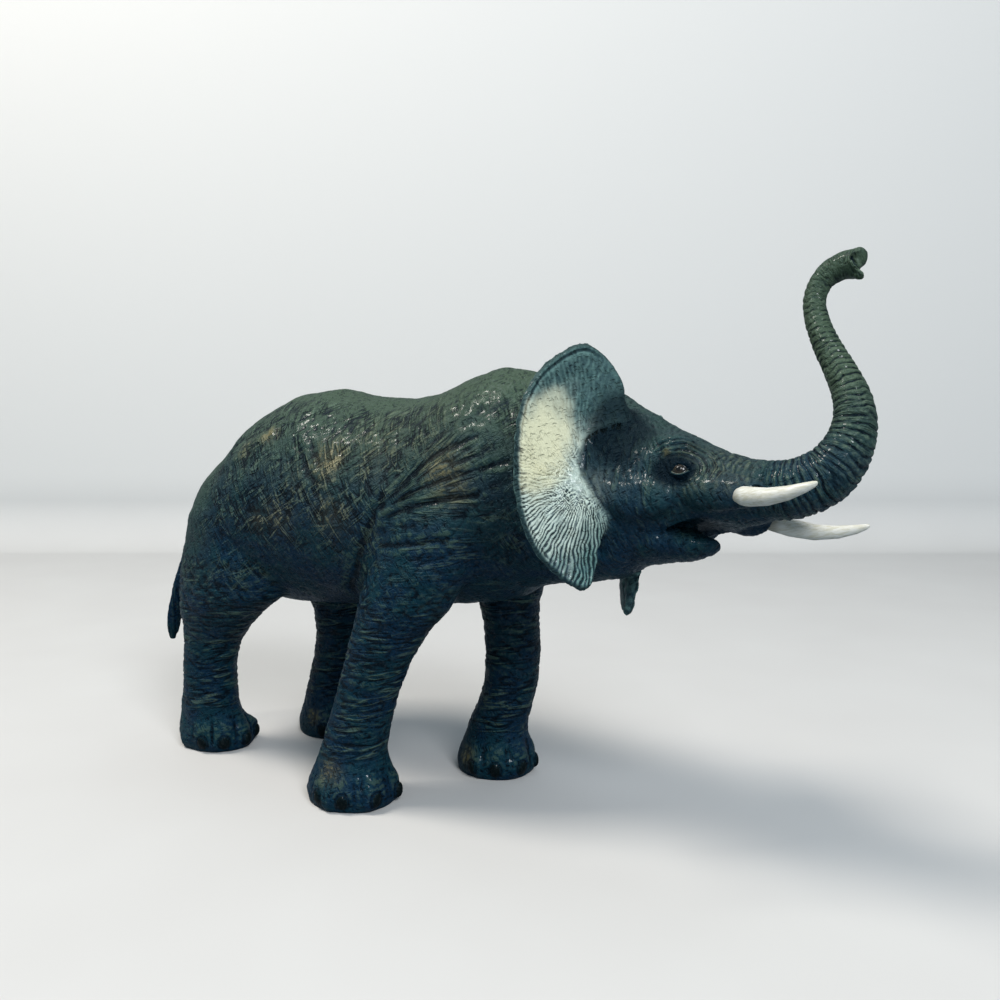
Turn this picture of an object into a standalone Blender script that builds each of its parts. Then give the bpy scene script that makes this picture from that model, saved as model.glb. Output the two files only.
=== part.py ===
"""A rigid toy elephant, moulded in PVC: walking, ears spread, trunk raised to trumpet.

The body and the head are sculpted as swept sections, fused into one skin each, and then cut into
the pieces that such a figure is moulded in, which plug into each other. The ringed trunk, the fan
ears, the tusks and the tail are built on their own and seated in sockets.
X runs forward, Y to the elephant's left and Z up. Sizes are in metres. Values named shares are
parts of the sizes that their comments name, set by hand.
"""
import math

import bmesh
import bpy
from mathutils import Matrix, Vector

for old_object in list(bpy.data.objects):
    bpy.data.objects.remove(old_object, do_unlink=True)

# Driving dimensions of the figure
shoulder_height = 0.100
body_length = 0.110
body_width = 0.048
leg_width = 0.0145
foot_width = 0.0195
foot_height = 0.012
head_length = 0.049
head_width = 0.031
jaw_length = 0.019
trunk_length = 0.060
trunk_base = 0.0115
ear_height = 0.0468
ear_thickness = 0.0017
tusk_length = 0.017
tusk_width = 0.0029
tail_length = 0.052
tail_width = 0.0046

# Fits between the moulded pieces
clearance = 0.00033
leg_seat_margin = 0.0022
leg_seat_margin_side = 0.0016
seat_dome = 0.0035
peg_radius = 0.003
peg_length = 0.005
neck_peg_radius = 0.007
neck_peg_length = 0.009
trunk_peg_radius = 0.0024
trunk_peg_length = 0.004
tail_root = 0.004
tusk_root = 0.005
cutter_reach = 0.060

# Fineness of the fused skins
body_voxel = 0.0009
head_voxel = 0.00075
body_faces = 3900
head_faces = 1700

# How the head is carried: turned to the near side, its crown leaning to the far side
head_yaw = math.radians(-4)
head_roll = math.radians(20)
neck_height_share = 0.80
neck_forward_share = 0.564


def lift(share):
    """A height above the floor, as a share of the shoulder height."""
    return share * shoulder_height


def ahead(share):
    """A place along the body, as a share of the body length."""
    return share * body_length


def aside(share):
    """A place across the body, as a share of the body width."""
    return share * body_width


# Mesh helpers
def link(name, mesh):
    """Put a mesh into the scene under a name."""
    made = bpy.data.objects.new(name, mesh)
    bpy.context.collection.objects.link(made)
    return made


def rings_mesh(name, rings):
    """One closed skin over a row of rings of points, with flat ends."""
    shape = bmesh.new()
    loops = [[shape.verts.new(point) for point in ring] for ring in rings]
    for lower, upper in zip(loops, loops[1:]):
        for i in range(len(lower)):
            j = (i + 1) % len(lower)
            shape.faces.new((lower[i], lower[j], upper[j], upper[i]))
    shape.faces.new(list(reversed(loops[0])))
    shape.faces.new(loops[-1])
    bmesh.ops.recalc_face_normals(shape, faces=shape.faces[:])
    mesh = bpy.data.meshes.new(name)
    shape.to_mesh(mesh)
    shape.free()
    return mesh


def settle(made):
    """Replace an object's mesh by what its modifiers make of it."""
    seen = made.evaluated_get(bpy.context.evaluated_depsgraph_get())
    mesh = bpy.data.meshes.new_from_object(seen)
    made.modifiers.clear()
    made.data = mesh


def shape_with(made, tool, operation):
    """Cut or trim one solid with another."""
    change = made.modifiers.new(operation.lower(), "BOOLEAN")
    change.operation = operation
    change.solver = "EXACT"
    change.object = tool
    settle(made)


def remove(*tools):
    """Clear away cutters once they have done their work."""
    for tool in tools:
        bpy.data.objects.remove(tool, do_unlink=True)


def copy_of(made, name):
    """A second object with its own copy of a mesh."""
    return link(name, made.data.copy())


def fuse_skin(made, voxel, smooth_steps, faces):
    """Fuse overlapping shells into one skin, smooth it and thin its faces."""
    remesh = made.modifiers.new("fuse", "REMESH")
    remesh.mode = "VOXEL"
    remesh.voxel_size = voxel
    relax = made.modifiers.new("relax", "SMOOTH")
    relax.factor = 0.5
    relax.iterations = smooth_steps
    settle(made)
    thin = made.modifiers.new("thin", "DECIMATE")
    thin.ratio = faces / (2 * len(made.data.polygons))
    settle(made)


def slice_off(made, point, normal):
    """Cut a solid with a plane, drop what lies on the normal's side and close the cut."""
    shape = bmesh.new()
    shape.from_mesh(made.data)
    everything = shape.verts[:] + shape.edges[:] + shape.faces[:]
    bmesh.ops.bisect_plane(shape, geom=everything, plane_co=point, plane_no=normal, clear_outer=True)
    rim = [edge for edge in shape.edges if edge.is_boundary]
    bmesh.ops.holes_fill(shape, edges=rim)
    bmesh.ops.recalc_face_normals(shape, faces=shape.faces[:])
    shape.to_mesh(made.data)
    shape.free()


def smooth_path(points, count, closed=False):
    """Points at even steps along a smooth curve through the given ones (Catmull-Rom)."""
    values = [Vector(point) for point in points]
    last = len(values) if closed else len(values) - 1
    made = []
    for step in range(count):
        place = last * step / (count if closed else count - 1)
        i = min(int(place), last - 1)
        t = place - i
        if closed:
            a, b, c, d = (values[(i + k) % len(values)] for k in (-1, 0, 1, 2))
        else:
            b, c = values[i], values[i + 1]
            a = values[i - 1] if i > 0 else b + (b - c)
            d = values[i + 2] if i + 2 < len(values) else c + (c - b)
        made.append(0.5 * (2 * b + (c - a) * t + (2 * a - 5 * b + 4 * c - d) * t * t
                           + (3 * b - a - 3 * c + d) * t ** 3))
    return made


def egg_ring(frame, along, top, bottom, half_width, sides, pinch=1.0):
    """A ring across a frame's X axis: a tall egg, with its upper half drawn in by pinch."""
    middle = 0.5 * (top + bottom)
    ring = []
    for k in range(sides):
        turn = 2 * math.pi * k / sides
        side, rise = math.cos(turn), math.sin(turn)
        across = half_width * math.copysign(abs(side) ** (pinch if rise > 0 else 1), side)
        ring.append(frame @ Vector((along, across, middle + 0.5 * (top - bottom) * rise)))
    return ring


def tube_rings(path, radii, side, sides):
    """Rings square to a path; radii holds a half width and a half depth for each point."""
    rings = []
    for k, point in enumerate(path):
        heading = path[min(k + 1, len(path) - 1)] - path[max(k - 1, 0)]
        heading.normalize()
        across = (side - heading * side.dot(heading)).normalized()
        up = heading.cross(across)
        wide, deep = radii[k]
        ring = []
        for n in range(sides):
            turn = 2 * math.pi * n / sides
            ring.append(point + across * wide * math.cos(turn) + up * deep * math.sin(turn))
        rings.append(ring)
    return rings


def lump(shape, centre, radii, turn=Matrix.Identity(3)):
    """Add a rounded lump to a bmesh that will be fused."""
    place = Matrix.Translation(centre) @ turn.to_4x4() @ Matrix.Diagonal((*radii, 1))
    bmesh.ops.create_icosphere(shape, subdivisions=3, radius=1, matrix=place)


# Body: places along are shares of the body length, heights of the shoulder height
# and half widths of the body width
torso_shares = (
    (-0.424, 0.674, 0.520, 0.06),
    (-0.410, 0.701, 0.475, 0.15),
    (-0.378, 0.738, 0.450, 0.250),
    (-0.330, 0.776, 0.430, 0.350),
    (-0.266, 0.815, 0.418, 0.425),
    (-0.222, 0.856, 0.414, 0.455),
    (-0.182, 0.898, 0.412, 0.475),
    (-0.073, 0.947, 0.412, 0.50),
    (0.018, 0.956, 0.420, 0.50),
    (0.118, 0.937, 0.432, 0.49),
    (0.218, 0.929, 0.444, 0.475),
    (0.300, 0.943, 0.452, 0.46),
    (0.373, 0.976, 0.460, 0.44),
    (0.445, 1.003, 0.475, 0.41),
    (0.509, 0.992, 0.497, 0.38),
)
torso_pinch = 1.12
torso_sides = 40

# Neck and skull: places along, tops and bottoms are shares of the head length from the neck's
# pivot, half widths of the head width, and the last share says how far the section turns
# with the head
neck_shares = (
    (-0.100, 0.385, -0.580, 0.58, 0.1),
    (0.020, 0.352, -0.550, 0.54, 0.4),
    (0.150, 0.326, -0.530, 0.51, 0.75),
    (0.285, 0.303, -0.515, 0.50, 1.0),
)
skull_shares = (
    (0.400, 0.238, -0.485, 0.495, 1.0),
    (0.520, 0.176, -0.405, 0.475, 1.0),
    (0.630, 0.130, -0.330, 0.440, 1.0),
    (0.735, 0.085, -0.275, 0.385, 1.0),
    (0.820, 0.054, -0.250, 0.330, 1.0),
    (0.900, 0.036, -0.228, 0.275, 1.0),
    (1.000, 0.033, -0.202, 0.215, 1.0),
    (1.060, 0.033, -0.200, 0.210, 1.0),
)
head_pinch = 1.25
head_sides = 40

# Lumps on the skull: place along, across and up as shares of the head length, and three radii
face_lump_shares = (
    (0.640, 0.190, 0.015, 0.110, 0.070, 0.060),
    (0.545, 0.235, -0.190, 0.170, 0.075, 0.100),
    (0.400, 0.070, 0.120, 0.150, 0.110, 0.090),
    (0.845, 0.185, -0.150, 0.135, 0.070, 0.078),
    (0.698, 0.232, -0.078, 0.047, 0.045, 0.045),
)


def head_frame(turned=1.0):
    """The head's frame: X out along the head, Y to its left, Z to its crown."""
    yaw, roll = head_yaw * turned, head_roll * turned
    pivot = Vector((ahead(neck_forward_share), 0, lift(neck_height_share)))
    return Matrix.Translation(pivot) @ Matrix.Rotation(yaw, 4, "Z") @ Matrix.Rotation(-roll, 4, "X")


def head_rings(shares):
    """Egg rings of the neck or the skull from their table."""
    return [egg_ring(head_frame(turned), along * head_length, top * head_length, low * head_length,
                     half * head_width, head_sides, head_pinch)
            for along, top, low, half, turned in shares]


def head_point(along, across, up):
    """A point given in the head's frame, in metres."""
    return head_frame() @ Vector((along, across, up))


# Legs: heights are shares of the shoulder height, places along of the body length, places
# across of the body width, half widths of the leg width. The first row is the ankle.
front_right_shares = (
    (0.120, 0.160, -0.345, 0.555, 0.525),
    (0.214, 0.188, -0.350, 0.515, 0.500),
    (0.271, 0.207, -0.350, 0.505, 0.500),
    (0.343, 0.233, -0.350, 0.540, 0.515),
    (0.417, 0.266, -0.345, 0.640, 0.560),
    (0.474, 0.295, -0.335, 0.790, 0.600),
    (0.560, 0.332, -0.310, 0.880, 0.640),
    (0.660, 0.360, -0.275, 0.930, 0.680),
    (0.780, 0.382, -0.225, 0.860, 0.680),
    (0.880, 0.395, -0.165, 0.620, 0.550),
)
front_left_shares = (
    (0.120, 0.331, 0.345, 0.525, 0.510),
    (0.174, 0.351, 0.342, 0.490, 0.470),
    (0.236, 0.369, 0.340, 0.475, 0.470),
    (0.313, 0.374, 0.338, 0.480, 0.475),
    (0.379, 0.370, 0.335, 0.490, 0.480),
    (0.438, 0.366, 0.330, 0.540, 0.515),
    (0.500, 0.368, 0.320, 0.655, 0.570),
    (0.580, 0.375, 0.300, 0.830, 0.640),
    (0.660, 0.382, 0.270, 0.900, 0.680),
    (0.780, 0.388, 0.225, 0.860, 0.680),
    (0.880, 0.395, 0.165, 0.620, 0.550),
)
rear_right_shares = (
    (0.120, -0.345, -0.222, 0.515, 0.495),
    (0.230, -0.335, -0.240, 0.490, 0.480),
    (0.300, -0.315, -0.252, 0.540, 0.505),
    (0.345, -0.292, -0.265, 0.690, 0.540),
    (0.390, -0.268, -0.278, 0.900, 0.590),
    (0.440, -0.232, -0.288, 1.160, 0.640),
    (0.540, -0.212, -0.290, 1.160, 0.655),
    (0.640, -0.208, -0.270, 1.020, 0.680),
    (0.730, -0.204, -0.215, 0.700, 0.620),
    (0.770, -0.205, -0.170, 0.480, 0.480),
)
rear_left_shares = (
    (0.120, -0.164, 0.308, 0.500, 0.485),
    (0.170, -0.148, 0.300, 0.480, 0.475),
    (0.230, -0.129, 0.291, 0.480, 0.475),
    (0.300, -0.115, 0.283, 0.490, 0.480),
    (0.370, -0.110, 0.279, 0.570, 0.525),
    (0.440, -0.138, 0.284, 0.830, 0.600),
    (0.510, -0.172, 0.288, 1.040, 0.650),
    (0.580, -0.190, 0.285, 1.080, 0.670),
    (0.660, -0.204, 0.262, 1.000, 0.680),
    (0.730, -0.204, 0.215, 0.700, 0.620),
    (0.770, -0.205, 0.170, 0.480, 0.480),
)

# Each leg: its table, the sole's place along and across, the foot's size as a share of the
# foot width, the way its toes point and the table rows below its body seam
legs = {
    "front_right_leg": (front_right_shares, 0.152, -0.344, 1.10, math.radians(-4), 7),
    "front_left_leg": (front_left_shares, 0.322, 0.344, 1.0, math.radians(-8), 8),
    "rear_right_leg": (rear_right_shares, -0.346, -0.169, 1.0, math.radians(-28), 7),
    "rear_left_leg": (rear_left_shares, -0.171, 0.323, 0.96, math.radians(8), 8),
}

# Foot: height as a share of the foot height, half width of the foot width
foot_shares = (
    (-0.20, 0.435),
    (0.02, 0.460),
    (0.18, 0.490),
    (0.38, 0.475),
    (0.60, 0.430),
    (0.80, 0.390),
)
foot_long_share = 1.07
foot_broad_share = 0.94
leg_sides = 28
seat_sides = 20
toe_angles = (-78, -26, 26, 78)
toe_reach_share = 0.405
toe_height_share = 0.31
toe_radius_shares = (0.122, 0.120, 0.135)
nail_reach_share = 0.495
nail_height_share = 0.20
nail_radius_shares = (0.052, 0.082, 0.088)


def sole_centre(name):
    """The middle of a foot's sole, on the floor."""
    _, sole_along, sole_across, _, _, _ = legs[name]
    return Vector((ahead(sole_along), aside(sole_across), 0))


def leg_rings(name, sides, margin=0.0, margin_side=0.0):
    """Rings up a foot and its leg, from under the floor into the body."""
    shares, _, _, size, _, _ = legs[name]
    sole = sole_centre(name)
    ankle = Vector((ahead(shares[0][1]), aside(shares[0][2]), 0))
    rings = []
    for height, half in foot_shares:
        level = sole.lerp(ankle, max(height, 0))
        middle = Vector((level.x, level.y, height * foot_height))
        reach = half * size * foot_width
        rings.append(flat_ring(middle, reach * foot_long_share + margin,
                               reach * foot_broad_share + margin_side, sides))
    for height, along, across, half_long, half_broad in shares:
        middle = Vector((ahead(along), aside(across), lift(height)))
        rings.append(flat_ring(middle, half_long * leg_width + margin,
                               half_broad * leg_width + margin_side, sides))
    return rings


def flat_ring(middle, long, broad, sides):
    """A level oval ring."""
    ring = []
    for k in range(sides):
        turn = 2 * math.pi * k / sides
        ring.append(middle + Vector((long * math.cos(turn), broad * math.sin(turn), 0)))
    return ring


def leg_seat(name, gap):
    """The space that a leg fills: the leg with a margin, a domed top and its peg."""
    shares, _, _, _, _, seam_row = legs[name]
    rings = leg_rings(name, seat_sides, leg_seat_margin + gap, leg_seat_margin_side + gap)
    rings = rings[:len(foot_shares) + seam_row]
    height, along, across, half_long, half_broad = shares[seam_row - 1]
    middle = Vector((ahead(along), aside(across), lift(height)))
    long = half_long * leg_width + leg_seat_margin + gap
    broad = half_broad * leg_width + leg_seat_margin_side + gap
    for share in (0.42, 0.74):
        turn = share * math.pi / 2
        rise = Vector((0, 0, (seat_dome + gap) * math.sin(turn)))
        rings.append(flat_ring(middle + rise, long * math.cos(turn), broad * math.cos(turn), seat_sides))
    dome_top = middle + Vector((0, 0, seat_dome + gap))
    peg = peg_radius + gap
    rings.append(flat_ring(dome_top, peg, peg, seat_sides))
    rings.append(flat_ring(dome_top + Vector((0, 0, peg_length)), peg, peg, seat_sides))
    return link(name + "_seat", rings_mesh(name + "_seat", rings))


def add_toes(shape, name):
    """Toe bumps and toenails round the front of a foot."""
    _, _, _, size, heading, _ = legs[name]
    sole = sole_centre(name)
    width = size * foot_width
    for angle in toe_angles:
        turn = Matrix.Rotation(heading + math.radians(angle), 3, "Z")
        out = turn @ Vector((1, 0, 0))
        stretch = Vector((out.x * foot_long_share, out.y * foot_broad_share, 0)) * width
        toe = sole + stretch * toe_reach_share + Vector((0, 0, toe_height_share * foot_height))
        nail = sole + stretch * nail_reach_share + Vector((0, 0, nail_height_share * foot_height))
        lump(shape, toe, [share * width for share in toe_radius_shares], turn)
        lump(shape, nail, [share * width for share in nail_radius_shares], turn)


def sculpt(name, skins, voxel, smooth_steps, faces, lumps=None):
    """Gather overlapping shells, add lumps and fuse them into one skin."""
    shape = bmesh.new()
    for skin in skins:
        shape.from_mesh(skin)
        bpy.data.meshes.remove(skin)
    if lumps:
        lumps(shape)
    mesh = bpy.data.meshes.new(name)
    shape.to_mesh(mesh)
    shape.free()
    made = link(name, mesh)
    fuse_skin(made, voxel, smooth_steps, faces)
    return made


def body_sculpt():
    """The torso, the neck stump and the four legs as one fused skin, flat under its soles."""
    upright = Matrix.Identity(4)
    torso_rings = [egg_ring(upright, ahead(along), lift(top), lift(low), half * body_width,
                            torso_sides, torso_pinch)
                   for along, top, low, half in torso_shares]
    skins = [rings_mesh("torso_skin", torso_rings + head_rings(neck_shares))]
    skins += [rings_mesh(name, leg_rings(name, leg_sides)) for name in legs]

    def feet(shape):
        for name in legs:
            add_toes(shape, name)

    made = sculpt("body_sculpt", skins, body_voxel, 5, body_faces, feet)
    slice_off(made, Vector((0, 0, 0)), Vector((0, 0, -1)))
    return made


def head_sculpt():
    """Neck, skull, cheeks, brows, eyes and tusk sheaths as one fused skin."""
    skins = [rings_mesh("skull_skin", head_rings(neck_shares + skull_shares))]

    def features(shape):
        turn = head_frame().to_3x3()
        for along, across, up, long, broad, tall in face_lump_shares:
            for side in (1, -1):
                middle = head_point(along * head_length, side * across * head_length, up * head_length)
                lump(shape, middle, [share * head_length for share in (long, broad, tall)], turn)

    return sculpt("head_sculpt", skins, head_voxel, 5, head_faces, features)


# Neck joint: a flat seat square to the head, with a round peg into the torso
neck_seam_share = 0.08
neck_peg_height_share = -0.10


def neck_seat(gap):
    """All of the space in front of the neck's seam, with the head's peg behind it."""
    sides = 32
    seam = neck_seam_share * head_length
    level = neck_peg_height_share * head_length
    frame = head_frame()
    peg = neck_peg_radius + gap
    stations = (
        (seam - neck_peg_length - gap, peg),
        (seam - gap, peg),
        (seam - gap, cutter_reach),
        (seam + 2 * cutter_reach, cutter_reach),
    )
    rings = [egg_ring(frame, along, level + reach, level - reach, reach, sides)
             for along, reach in stations]
    return link("neck_seat", rings_mesh("neck_seat", rings))


# Lower jaw: along, top and bottom as shares of the head length, half width of the head width
jaw_root_share = 0.430
jaw_shares = (
    (0.00, -0.300, -0.425, 0.150),
    (0.15, -0.285, -0.425, 0.205),
    (0.40, -0.282, -0.405, 0.215),
    (0.65, -0.278, -0.390, 0.170),
    (0.82, -0.280, -0.375, 0.120),
    (0.94, -0.290, -0.352, 0.070),
    (1.00, -0.305, -0.330, 0.030),
)


def jaw_solid(name, gap):
    """The spout-shaped lower lip, with its root under the cheeks."""
    rings = []
    for share, top, low, half in jaw_shares:
        along = jaw_root_share * head_length + share * jaw_length
        grow = -gap if share == 0 else gap if share == 1 else 0
        rings.append(egg_ring(head_frame(), along + grow, top * head_length + gap,
                              low * head_length - gap, half * head_width + gap, 20))
    return link(name, rings_mesh(name, rings))


# Trunk: places along and up as shares of the trunk length, from the middle of its base,
# and its depth as a share of the base depth
trunk_shares = (
    (0.000, 0.000, 1.00),
    (0.058, 0.007, 0.99),
    (0.113, 0.030, 0.97),
    (0.158, 0.063, 0.93),
    (0.190, 0.112, 0.85),
    (0.208, 0.168, 0.77),
    (0.210, 0.235, 0.69),
    (0.188, 0.312, 0.60),
    (0.142, 0.395, 0.52),
    (0.088, 0.482, 0.455),
    (0.047, 0.568, 0.405),
    (0.032, 0.635, 0.380),
    (0.044, 0.690, 0.375),
    (0.072, 0.727, 0.385),
    (0.106, 0.744, 0.400),
    (0.134, 0.744, 0.450),
)
trunk_seat_share = 0.996
trunk_middle_share = -0.084
trunk_rings_count = 40
trunk_sides = 14
trunk_broad_share = 1.10
trunk_groove_share = 0.045
finger_length = 0.0017
nostril_depth = 0.0016
nostril_share = 0.55


def trunk_start():
    """Middle of the trunk's seat on the snout."""
    return Vector((trunk_seat_share * head_length, 0, trunk_middle_share * head_length))


def trunk_solid():
    """The raised trunk: grooved rings on a smooth S, two fingers and a nostril pit at its tip."""
    frame = head_frame()
    start = trunk_start()
    points = []
    for along, up, depth in trunk_shares:
        points.append(start + Vector((along * trunk_length, depth * trunk_base, up * trunk_length)))
    steps = 2 * trunk_rings_count + 1
    smooth = smooth_path(points, steps)
    path, radii = [], []
    for k, value in enumerate(smooth):
        groove = trunk_groove_share if k % 2 else 0
        depth = 0.5 * value.y * (1 - groove)
        path.append(frame @ Vector((value.x, 0, value.z)))
        radii.append((depth * trunk_broad_share, depth))
    side = frame.to_3x3() @ Vector((0, 1, 0))
    forward = frame.to_3x3() @ Vector((1, 0, 0))
    rings = tube_rings(path, radii, side, trunk_sides)
    rings[0] = tube_rings([path[0], path[0] + forward], radii[:2], side, trunk_sides)[0]
    heading = (path[-1] - path[-2]).normalized()
    middle = path[-1]
    lip, floor = [], []
    for n, point in enumerate(rings[-1]):
        reach = finger_length * abs(math.sin(2 * math.pi * n / trunk_sides)) ** 1.5
        inward = middle + (point - middle) * nostril_share
        lip.append(point + heading * reach)
        floor.append(inward - heading * nostril_depth)
    rings += [lip, floor]
    peg = (trunk_peg_radius, trunk_peg_radius)
    plug_path = [path[0] - forward * trunk_peg_length, path[0] - forward * trunk_peg_length * 0.5]
    plug = tube_rings(plug_path, [peg, peg], side, trunk_sides)
    plug.append([point + forward * trunk_peg_length * 0.5 for point in plug[-1]])
    return link("trunk", rings_mesh("trunk", plug + rings))


def trunk_seat(gap):
    """The space in front of the snout's end, with the socket for the trunk's peg."""
    frame = head_frame()
    start = trunk_start()
    peg = trunk_peg_radius + gap
    wide = trunk_base
    stations = (
        (-trunk_peg_length - gap, peg),
        (-gap, peg),
        (-gap, wide),
        (wide, wide),
    )
    rings = [egg_ring(frame, start.x + along, start.z + reach, start.z - reach, reach, 24)
             for along, reach in stations]
    return link("trunk_seat", rings_mesh("trunk_seat", rings))


# Ear: the middle of its root as shares of the head length and how far it is spread from straight
# back, each by side, then its outline in its own plane, out and up, as shares of the ear height
ear_root_shares = {-1: (0.367, 0.245, -0.061), 1: (0.345, 0.245, -0.085)}
ear_spreads = {-1: math.radians(57), 1: math.radians(53)}
ear_outline_shares = (
    (-0.075, 0.294),
    (-0.030, 0.365),
    (0.067, 0.433),
    (0.183, 0.440),
    (0.279, 0.356),
    (0.348, 0.254),
    (0.383, 0.098),
    (0.360, -0.100),
    (0.310, -0.281),
    (0.196, -0.440),
    (0.046, -0.521),
    (-0.045, -0.530),
    (-0.085, -0.440),
    (-0.085, -0.280),
    (-0.075, -0.100),
    (-0.080, 0.110),
)
ear_spokes = 36
ear_ring_shares = (0.30, 0.55, 0.76, 0.90, 1.0)
ear_slot_spokes = 20
ear_slot_ring_shares = (0.50, 1.0)
ear_hub_shares = (0.13, -0.03)
ear_cup = 0.0022
ear_rib = 0.00022
ear_rim = 0.0008


def ear_solid(name, side, gap):
    """A cupped fan with shallow ribs below and a rounded rim; side is 1 left and -1 right."""
    along, across, up = (share * head_length for share in ear_root_shares[side])
    frame = head_frame()
    turn = frame.to_3x3()
    spread = ear_spreads[side]
    out = turn @ Vector((-math.cos(spread), side * math.sin(spread), 0))
    rise = turn @ Vector((0, 0, 1))
    front = turn @ Vector((math.sin(spread), side * math.cos(spread), 0))
    root = frame @ Vector((along, side * across, up))
    spokes = ear_slot_spokes if gap else ear_spokes
    ring_shares = ear_slot_ring_shares if gap else ear_ring_shares
    rib_height = 0 if gap else ear_rib
    outline = smooth_path([(a * ear_height, b * ear_height, 0) for a, b in ear_outline_shares],
                          spokes, closed=True)
    hub = Vector((ear_hub_shares[0] * ear_height, ear_hub_shares[1] * ear_height, 0))

    def layer(share, spoke, lift_off):
        edge = outline[spoke] - hub
        flat = hub + edge * share + edge.normalized() * (gap * share)
        low_half = min(1.0, max(0.0, 0.5 - 2 * edge.y / ear_height))
        rib = rib_height * low_half * math.sin(math.pi * share) * (1 if spoke % 2 else -1)
        bow = -ear_cup * (1 - share ** 2) + rib
        return root + out * flat.x + rise * flat.y + front * (bow + lift_off)

    half = 0.5 * ear_thickness + gap
    shape = bmesh.new()
    sheets = []
    for sign in (1, -1):
        centre = shape.verts.new(root + out * hub.x + rise * hub.y + front * (sign * half - ear_cup))
        sheets.append([[centre]] + [[shape.verts.new(layer(share, spoke, sign * half))
                                     for spoke in range(spokes)] for share in ring_shares])
    rim = []
    for spoke in range(spokes):
        edge = outline[spoke] - hub
        flat = hub + edge + edge.normalized() * (ear_rim + gap)
        rim.append(shape.verts.new(root + out * flat.x + rise * flat.y))
    for sheet in sheets:
        for inner, outer in zip(sheet, sheet[1:]):
            for i in range(spokes):
                j = (i + 1) % spokes
                if len(inner) == 1:
                    shape.faces.new((inner[0], outer[i], outer[j]))
                else:
                    shape.faces.new((inner[i], outer[i], outer[j], inner[j]))
        for i in range(spokes):
            j = (i + 1) % spokes
            shape.faces.new((sheet[-1][i], rim[i], rim[j], sheet[-1][j]))
    bmesh.ops.recalc_face_normals(shape, faces=shape.faces[:])
    mesh = bpy.data.meshes.new(name)
    shape.to_mesh(mesh)
    shape.free()
    return link(name, mesh)


# Tusk: along, across and up as shares of the tusk length from its sheath's mouth, and its
# half width as a share of the tusk width
tusk_mouth_shares = (0.930, 0.205, -0.160)
tusk_shares = (
    (0.000, 0.000, 0.000, 0.50),
    (0.200, 0.080, -0.035, 0.50),
    (0.440, 0.165, -0.045, 0.475),
    (0.680, 0.225, -0.010, 0.41),
    (0.860, 0.255, 0.045, 0.31),
    (0.960, 0.265, 0.085, 0.20),
    (1.000, 0.268, 0.104, 0.09),
)


def tusk_solid(name, side, gap):
    """A round tusk that sweeps out and up, with its root in the sheath's socket."""
    along, across, up = (share * head_length for share in tusk_mouth_shares)
    frame = head_frame()
    mouth = Vector((along, side * across, up))
    path, radii = [], []
    for ahead_share, out_share, up_share, half in tusk_shares:
        step = Vector((ahead_share, side * out_share, up_share)) * tusk_length
        path.append(frame @ (mouth + step))
        radii.append((half * tusk_width + gap, half * tusk_width + gap))
    heading = (path[1] - path[0]).normalized()
    root = path[0] - heading * (tusk_root + gap)
    path.insert(0, root)
    radii.insert(0, (radii[0][0] * 0.85, radii[0][1] * 0.85))
    if gap:
        path, radii = path[:4], radii[:4]
    rings = tube_rings(path, radii, frame.to_3x3() @ Vector((0, 1, 0)), 14)
    return link(name, rings_mesh(name, rings))


# Tail: along, across and down as shares of the tail length from its root on the rump, and
# its half width and half depth as shares of the tail width
tail_place_shares = (-0.400, 0.685)
tail_shares = (
    (0.000, 0.000, 0.000, 0.46, 0.42),
    (-0.060, -0.015, -0.070, 0.42, 0.38),
    (-0.125, -0.040, -0.170, 0.36, 0.33),
    (-0.165, -0.065, -0.300, 0.32, 0.29),
    (-0.185, -0.085, -0.420, 0.36, 0.27),
    (-0.210, -0.100, -0.540, 0.46, 0.27),
    (-0.232, -0.115, -0.660, 0.50, 0.26),
    (-0.246, -0.125, -0.760, 0.42, 0.22),
    (-0.248, -0.130, -0.830, 0.16, 0.10),
)


def tail_solid(name, gap):
    """A tapering tail that widens to a flat tuft, with its root plugged into the rump."""
    root = Vector((ahead(tail_place_shares[0]), 0, lift(tail_place_shares[1])))
    points = [root + Vector((along, across, down)) * tail_length
              for along, across, down, _, _ in tail_shares]
    radii = [(wide * tail_width + gap, deep * tail_width + gap) for _, _, _, wide, deep in tail_shares]
    inward = Vector((1, 0, 0))
    points.insert(0, root + inward * (tail_root + gap))
    radii.insert(0, radii[0])
    if gap:
        points, radii = points[:4], radii[:4]
    rings = tube_rings(points, radii, Vector((0.5, 0.85, 0)), 14)
    return link(name, rings_mesh(name, rings))


def finish(made, material):
    """Give a piece its paint and smooth shading."""
    made.data.materials.clear()
    made.data.materials.append(material)
    made.data.shade_smooth()
    made.data.set_sharp_from_angle(angle=math.radians(40))


def paint(name, colour, roughness):
    """A painted or bare PVC finish."""
    made = bpy.data.materials.new(name)
    made.use_nodes = True
    shader = made.node_tree.nodes["Principled BSDF"]
    shader.inputs["Base Color"].default_value = (*colour, 1)
    shader.inputs["Roughness"].default_value = roughness
    shader.inputs["Metallic"].default_value = 0
    return made


skin_paint = paint("skin_paint", (0.012, 0.034, 0.030), 0.35)
ear_paint = paint("ear_paint", (0.45, 0.52, 0.33), 0.4)
ivory_paint = paint("ivory_paint", (0.85, 0.80, 0.70), 0.45)

# Body: legs lifted out of the sculpt, each leaving its domed seat in the torso
torso = body_sculpt()
torso.name = "torso"
pieces = [torso]
for leg_name in legs:
    leg = copy_of(torso, leg_name)
    seat = leg_seat(leg_name, 0.0)
    shape_with(leg, seat, "INTERSECT")
    remove(seat)
    pieces.append(leg)
for leg_name in legs:
    seat = leg_seat(leg_name, clearance)
    shape_with(torso, seat, "DIFFERENCE")
    remove(seat)

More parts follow.
